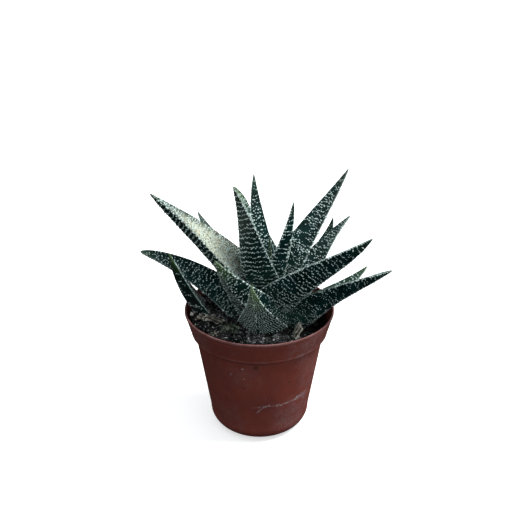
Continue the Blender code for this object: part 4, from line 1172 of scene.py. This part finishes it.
# Leaves of the heart
# The youngest leaves stand nearly upright round the growing point, the middle one still a green spike.
grow_leaf("leaf_youngest", dict(
    base=(0.0060, -0.0025, 0.0838), tip=(0.0055, 0.0040, 0.1185), faces=92,
    sets_off=(92, 85), arrives=(97, 73), roll=(0, 0),
    half_width=0.0019, swell=0.6,
), DOT_ROWS, DOT_ROWS, tint=0.12)
grow_leaf("leaf_centre_left", dict(
    base=(0.0030, -0.0050, 0.0840), tip=(-0.0140, 0.0050, 0.1445), faces=161,
    sets_off=(160, 85), arrives=(188, 51), roll=(46, 12),
    half_width=0.0149, swell=1.5, depth=0.70, keel_shift=-0.1, cup=0.6,
), edges=EDGE_LINE, horn=0.3, upper_tip=0.24)
grow_leaf("leaf_centre_right", dict(
    base=(0.0065, -0.0040, 0.0845), tip=(0.0180, -0.0085, 0.1410), faces=339,
    sets_off=(341, 81), arrives=(340, 84), roll=(-32, -12),
    half_width=0.0088, swell=0.5, cup=0.6,
), HEART_BANDS, HEART_BANDS, base_shade=0.8)
grow_leaf("leaf_centre_back", dict(
    base=(0.0055, 0.0000, 0.0800), tip=(-0.0030, 0.0220, 0.1465), faces=111,
    sets_off=(110, 81), arrives=(90, 66), roll=(1, 3),
    half_width=0.0077, swell=0.5, cup=0.4,
), HEART_BANDS, HEART_BANDS)
grow_leaf("leaf_back_inner", dict(
    base=(0.0095, 0.0025, 0.0775), tip=(0.0015, 0.0250, 0.1205), faces=102,
    sets_off=(78, 64), arrives=(80, 45), roll=(-10, 37),
    half_width=0.0092, swell=0.9,
))

# Leaves to the front
# A broad short leaf that faces the viewer, all fine dots, and a keeled one that leans left behind it.
grow_leaf("leaf_front", dict(
    base=(0.0030, -0.0120, 0.0605), tip=(-0.0040, -0.0475, 0.1125), faces=257,
    sets_off=(245, 74), arrives=(244, 72), roll=(2, -6),
    half_width=0.0182, swell=-0.4, depth=0.58, cup=0.2,
), FINE_DOTS, FINE_DOTS, FINE_DOTS, edges=FINE_EDGE, horn=0, tint=0.025, tip=0.75, tip_from=0.62, base_shade=0.35)
grow_leaf("leaf_front_left", dict(
    base=(0.0125, -0.0075, 0.0630), tip=(-0.0225, -0.0320, 0.1180), faces=214,
    sets_off=(205, 53), arrives=(226, 56), roll=(57, 21),
    half_width=0.0156, swell=0.5, depth=0.61, keel_shift=0.05, cup=-0.2,
), FINE_BANDS, CLOSE_BANDS, tint=0.01, tip=0.5, tip_from=0.75)

# Leaves to the right
# Long leaves that lean out over the pot's right side and show their banded backs or their dotted upper faces,
# with two small ones among them.
grow_leaf("leaf_right_low", dict(
    base=(0.0165, -0.0075, 0.0660), tip=(0.0695, -0.0240, 0.1085), faces=341,
    sets_off=(351, 55), arrives=(335, 25), roll=(-46, -14),
    half_width=0.0136, swell=1.0, depth=0.66, keel_shift=-0.2, cup=0.2,
), FAINT_BANDS, CLOSE_BANDS, edges=EDGE_LINE, horn=0.3)
grow_leaf("leaf_right", dict(
    base=(0.0090, -0.0070, 0.0745), tip=(0.0570, -0.0305, 0.1295), faces=333,
    sets_off=(311, 74), arrives=(346, 43), roll=(-30, -26),
    half_width=0.0157, swell=1.0, cup=0.6,
), BEAD_BANDS, BEAD_BANDS, edges=EDGE_LINE, horn=0.4)
grow_leaf("leaf_right_low_small", dict(
    base=(0.0150, -0.0025, 0.0685), tip=(0.0630, 0.0175, 0.0915), faces=21,
    sets_off=(13, 41), arrives=(25, 42), roll=(-20, 8),
    half_width=0.0076, swell=1.0,
), CLOSE_BANDS, CLOSE_BANDS, tint=0.06, tip=0.15)
grow_leaf("leaf_upper_right", dict(
    base=(0.0095, 0.0000, 0.0775), tip=(0.0510, 0.0325, 0.1460), faces=38,
    sets_off=(42, 75), arrives=(35, 51), roll=(18, -14),
    half_width=0.0105, swell=0.8, cup=0.4,
), upper=CLOSE_DOTS, edges=EDGE_NOTCHES)
grow_leaf("leaf_back_right", dict(
    base=(0.0130, 0.0015, 0.0715), tip=(0.0540, 0.0355, 0.1160), faces=39,
    sets_off=(34, 48), arrives=(30, 30), roll=(17, -27),
    half_width=0.0105, swell=0.9, cup=0.4,
))
grow_leaf("leaf_back_right_small", dict(
    base=(0.0105, 0.0040, 0.0715), tip=(0.0445, 0.0445, 0.1115), faces=52,
    sets_off=(56, 54), arrives=(54, 76), roll=(-24, 0),
    half_width=0.0067, swell=1.1,
), CLOSE_BANDS, CLOSE_BANDS, tint=0.02)

# Leaves to the left
# The upper one turns its densely dotted upper face to the light, with a pale painted highlight on it. One
# more leans out over the rim below it, and the last rises from under the heaped soil.
grow_leaf("leaf_upper_left", dict(
    base=(0.0015, -0.0015, 0.0775), tip=(-0.0600, 0.0105, 0.1385), faces=167,
    sets_off=(163, 62), arrives=(175, 33), roll=(-10, 20),
    half_width=0.0127, swell=1.7, depth=0.65, keel_shift=0.25, cup=0.7,
), upper=DENSE_MARKS, bloom=1.0, tint=0.02, base_shade=0.3)
grow_leaf("leaf_left_low", dict(
    base=(-0.0040, -0.0035, 0.0655), tip=(-0.0650, -0.0025, 0.1095), faces=179,
    sets_off=(176, 59), arrives=(221, 27), roll=(-37, -14),
    half_width=0.0118, taper=0.60, swell=0.1, cup=0.2,
), CLOSE_BANDS, CLOSE_BANDS)
grow_leaf("leaf_left_half_buried", dict(
    base=(-0.0055, 0.0085, 0.0525), tip=(-0.0475, -0.0170, 0.1150), faces=211,
    sets_off=(188, 24), arrives=(223, 63), roll=(-14, -13),
    half_width=0.0091, swell=2.3, cup=-0.4,
), SPARSE_BANDS, SPARSE_BANDS, FAINT_BANDS, edges=None, horn=0, tint=0.01, tip=0.25)

# Leaves behind
# The rest of the rosette: a small leaf whose tip alone shows from the front, and three lower ones that are
# seen only from the back and the sides.
grow_leaf("leaf_back_left_small", dict(
    base=(0.0010, 0.0015, 0.0715), tip=(-0.0375, 0.0450, 0.1150), faces=131,
    sets_off=(125, 47), arrives=(124, 37), roll=(-1, 0),
    half_width=0.0081, swell=0.6,
))
grow_leaf("leaf_behind_right", dict(
    base=(0.0085, 0.0040, 0.0700), tip=(0.0180, 0.0500, 0.0990), faces=78,
    sets_off=(78, 45), arrives=(78, 20), roll=(0, 0),
    half_width=0.0085, swell=0.8,
))
grow_leaf("leaf_behind", dict(
    base=(0.0045, 0.0040, 0.0690), tip=(-0.0090, 0.0480, 0.1010), faces=106,
    sets_off=(106, 48), arrives=(106, 24), roll=(0, 0),
    half_width=0.0085, swell=0.8,
))
grow_leaf("leaf_behind_left", dict(
    base=(-0.0010, 0.0010, 0.0655), tip=(-0.0480, 0.0300, 0.0840), faces=150,
    sets_off=(150, 32), arrives=(150, 10), roll=(0, 0),
    half_width=0.0085, swell=0.8,
))

# Floor, light and camera
# A plain pale floor that glows a little, under a soft sky, bright overhead and dim at the sides, with one
# broad light above and to the right, and a weak one from the right front. The camera looks down as in the
# photograph.
FLOOR_SIZE = 12.0
FLOOR_GLOW = 0.55
SKY_TINT = (0.93, 0.98, 1.0, 1.0)
SKY_TOP = 0.90
SKY_SIDE = 0.12
SKY_BELOW = 0.03
DIM_BELOW = -0.25
KEY_FROM = (0.52, 0.06, 0.85)
KEY_STRENGTH = 3.3
KEY_SPREAD = 28.0
KEY_TINT = (1.0, 0.99, 0.95)
FILL_FROM = (0.62, -0.70, 0.20)
FILL_STRENGTH = 0.55
FILL_SPREAD = 50.0
FILL_TINT = (0.88, 0.96, 1.0)
CAMERA_AT = (0.0015, -0.36179, 0.27263)
CAMERA_PITCH = 64.76
CAMERA_LENS = 49.64
FILM_WIDTH = 36.0
NEAREST_SEEN = 0.01

floor_white, tree, shader, place = new_material(
    "floor_white", Base_Color=(0.93, 0.93, 0.93, 1.0), Roughness=0.9, Specular_IOR_Level=0.0,
    Emission_Strength=FLOOR_GLOW,
)
half = FLOOR_SIZE / 2
floor_corners = [(-half, -half, 0), (half, -half, 0), (half, half, 0), (-half, half, 0)]
floor = mesh_piece("floor", floor_corners, [(0, 1, 2, 3)], floor_white)
floor.visible_diffuse = False
floor.visible_glossy = False
floor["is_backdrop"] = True

world = bpy.data.worlds.new("soft_room")
bpy.context.scene.world = world
world.use_nodes = True
tree = world.node_tree
climb = put(tree, "SeparateXYZ", {0: put(tree, "TexCoord").outputs["Generated"]}).outputs["Z"]
above = ramp(tree, climb, 0.0, 1.0, SKY_SIDE, SKY_TOP)
below = ramp(tree, climb, DIM_BELOW, 0.0, SKY_BELOW, SKY_SIDE)
is_above = put(tree, "Math", {0: climb, 1: 0.0}, operation="GREATER_THAN").outputs[0]
sky = tree.nodes["Background"]
sky.inputs["Color"].default_value = SKY_TINT
tree.links.new(put(tree, "Mix", {0: is_above, 2: below, 3: above}).outputs[0], sky.inputs["Strength"])
# What the camera itself sees past the floor is plain white.
backdrop = put(tree, "Background", {"Color": (1.0, 1.0, 1.0, 1.0), "Strength": 1.0})
seen = put(tree, "LightPath").outputs["Is Camera Ray"]
chosen = put(tree, "MixShader", {0: seen, 1: sky.outputs[0], 2: backdrop.outputs[0]})
tree.links.new(chosen.outputs[0], tree.nodes["World Output"].inputs["Surface"])


def far_light(name, towards, strength, spread, tint):
    """A broad light a long way off, from the direction given."""
    light = bpy.data.lights.new(name, "SUN")
    light.energy = strength
    light.angle = math.radians(spread)
    light.color = tint
    holder = bpy.data.objects.new(name, light)
    bpy.context.scene.collection.objects.link(holder)
    lean = math.acos(towards[2] / np.linalg.norm(towards))
    holder.rotation_euler = (0.0, lean, math.atan2(towards[1], towards[0]))


far_light("key", KEY_FROM, KEY_STRENGTH, KEY_SPREAD, KEY_TINT)
far_light("fill", FILL_FROM, FILL_STRENGTH, FILL_SPREAD, FILL_TINT)

camera = bpy.data.objects.new("camera", bpy.data.cameras.new("camera"))
bpy.context.scene.collection.objects.link(camera)
camera.location = CAMERA_AT
camera.rotation_euler = (math.radians(CAMERA_PITCH), 0.0, 0.0)
camera.data.sensor_width = FILM_WIDTH
camera.data.lens = CAMERA_LENS
camera.data.clip_start = NEAREST_SEEN
bpy.context.scene.camera = camera
bpy.context.scene.view_settings.view_transform = "Standard"

sizes = dict(cad=cad_box, visual=[list(corner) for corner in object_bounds()])
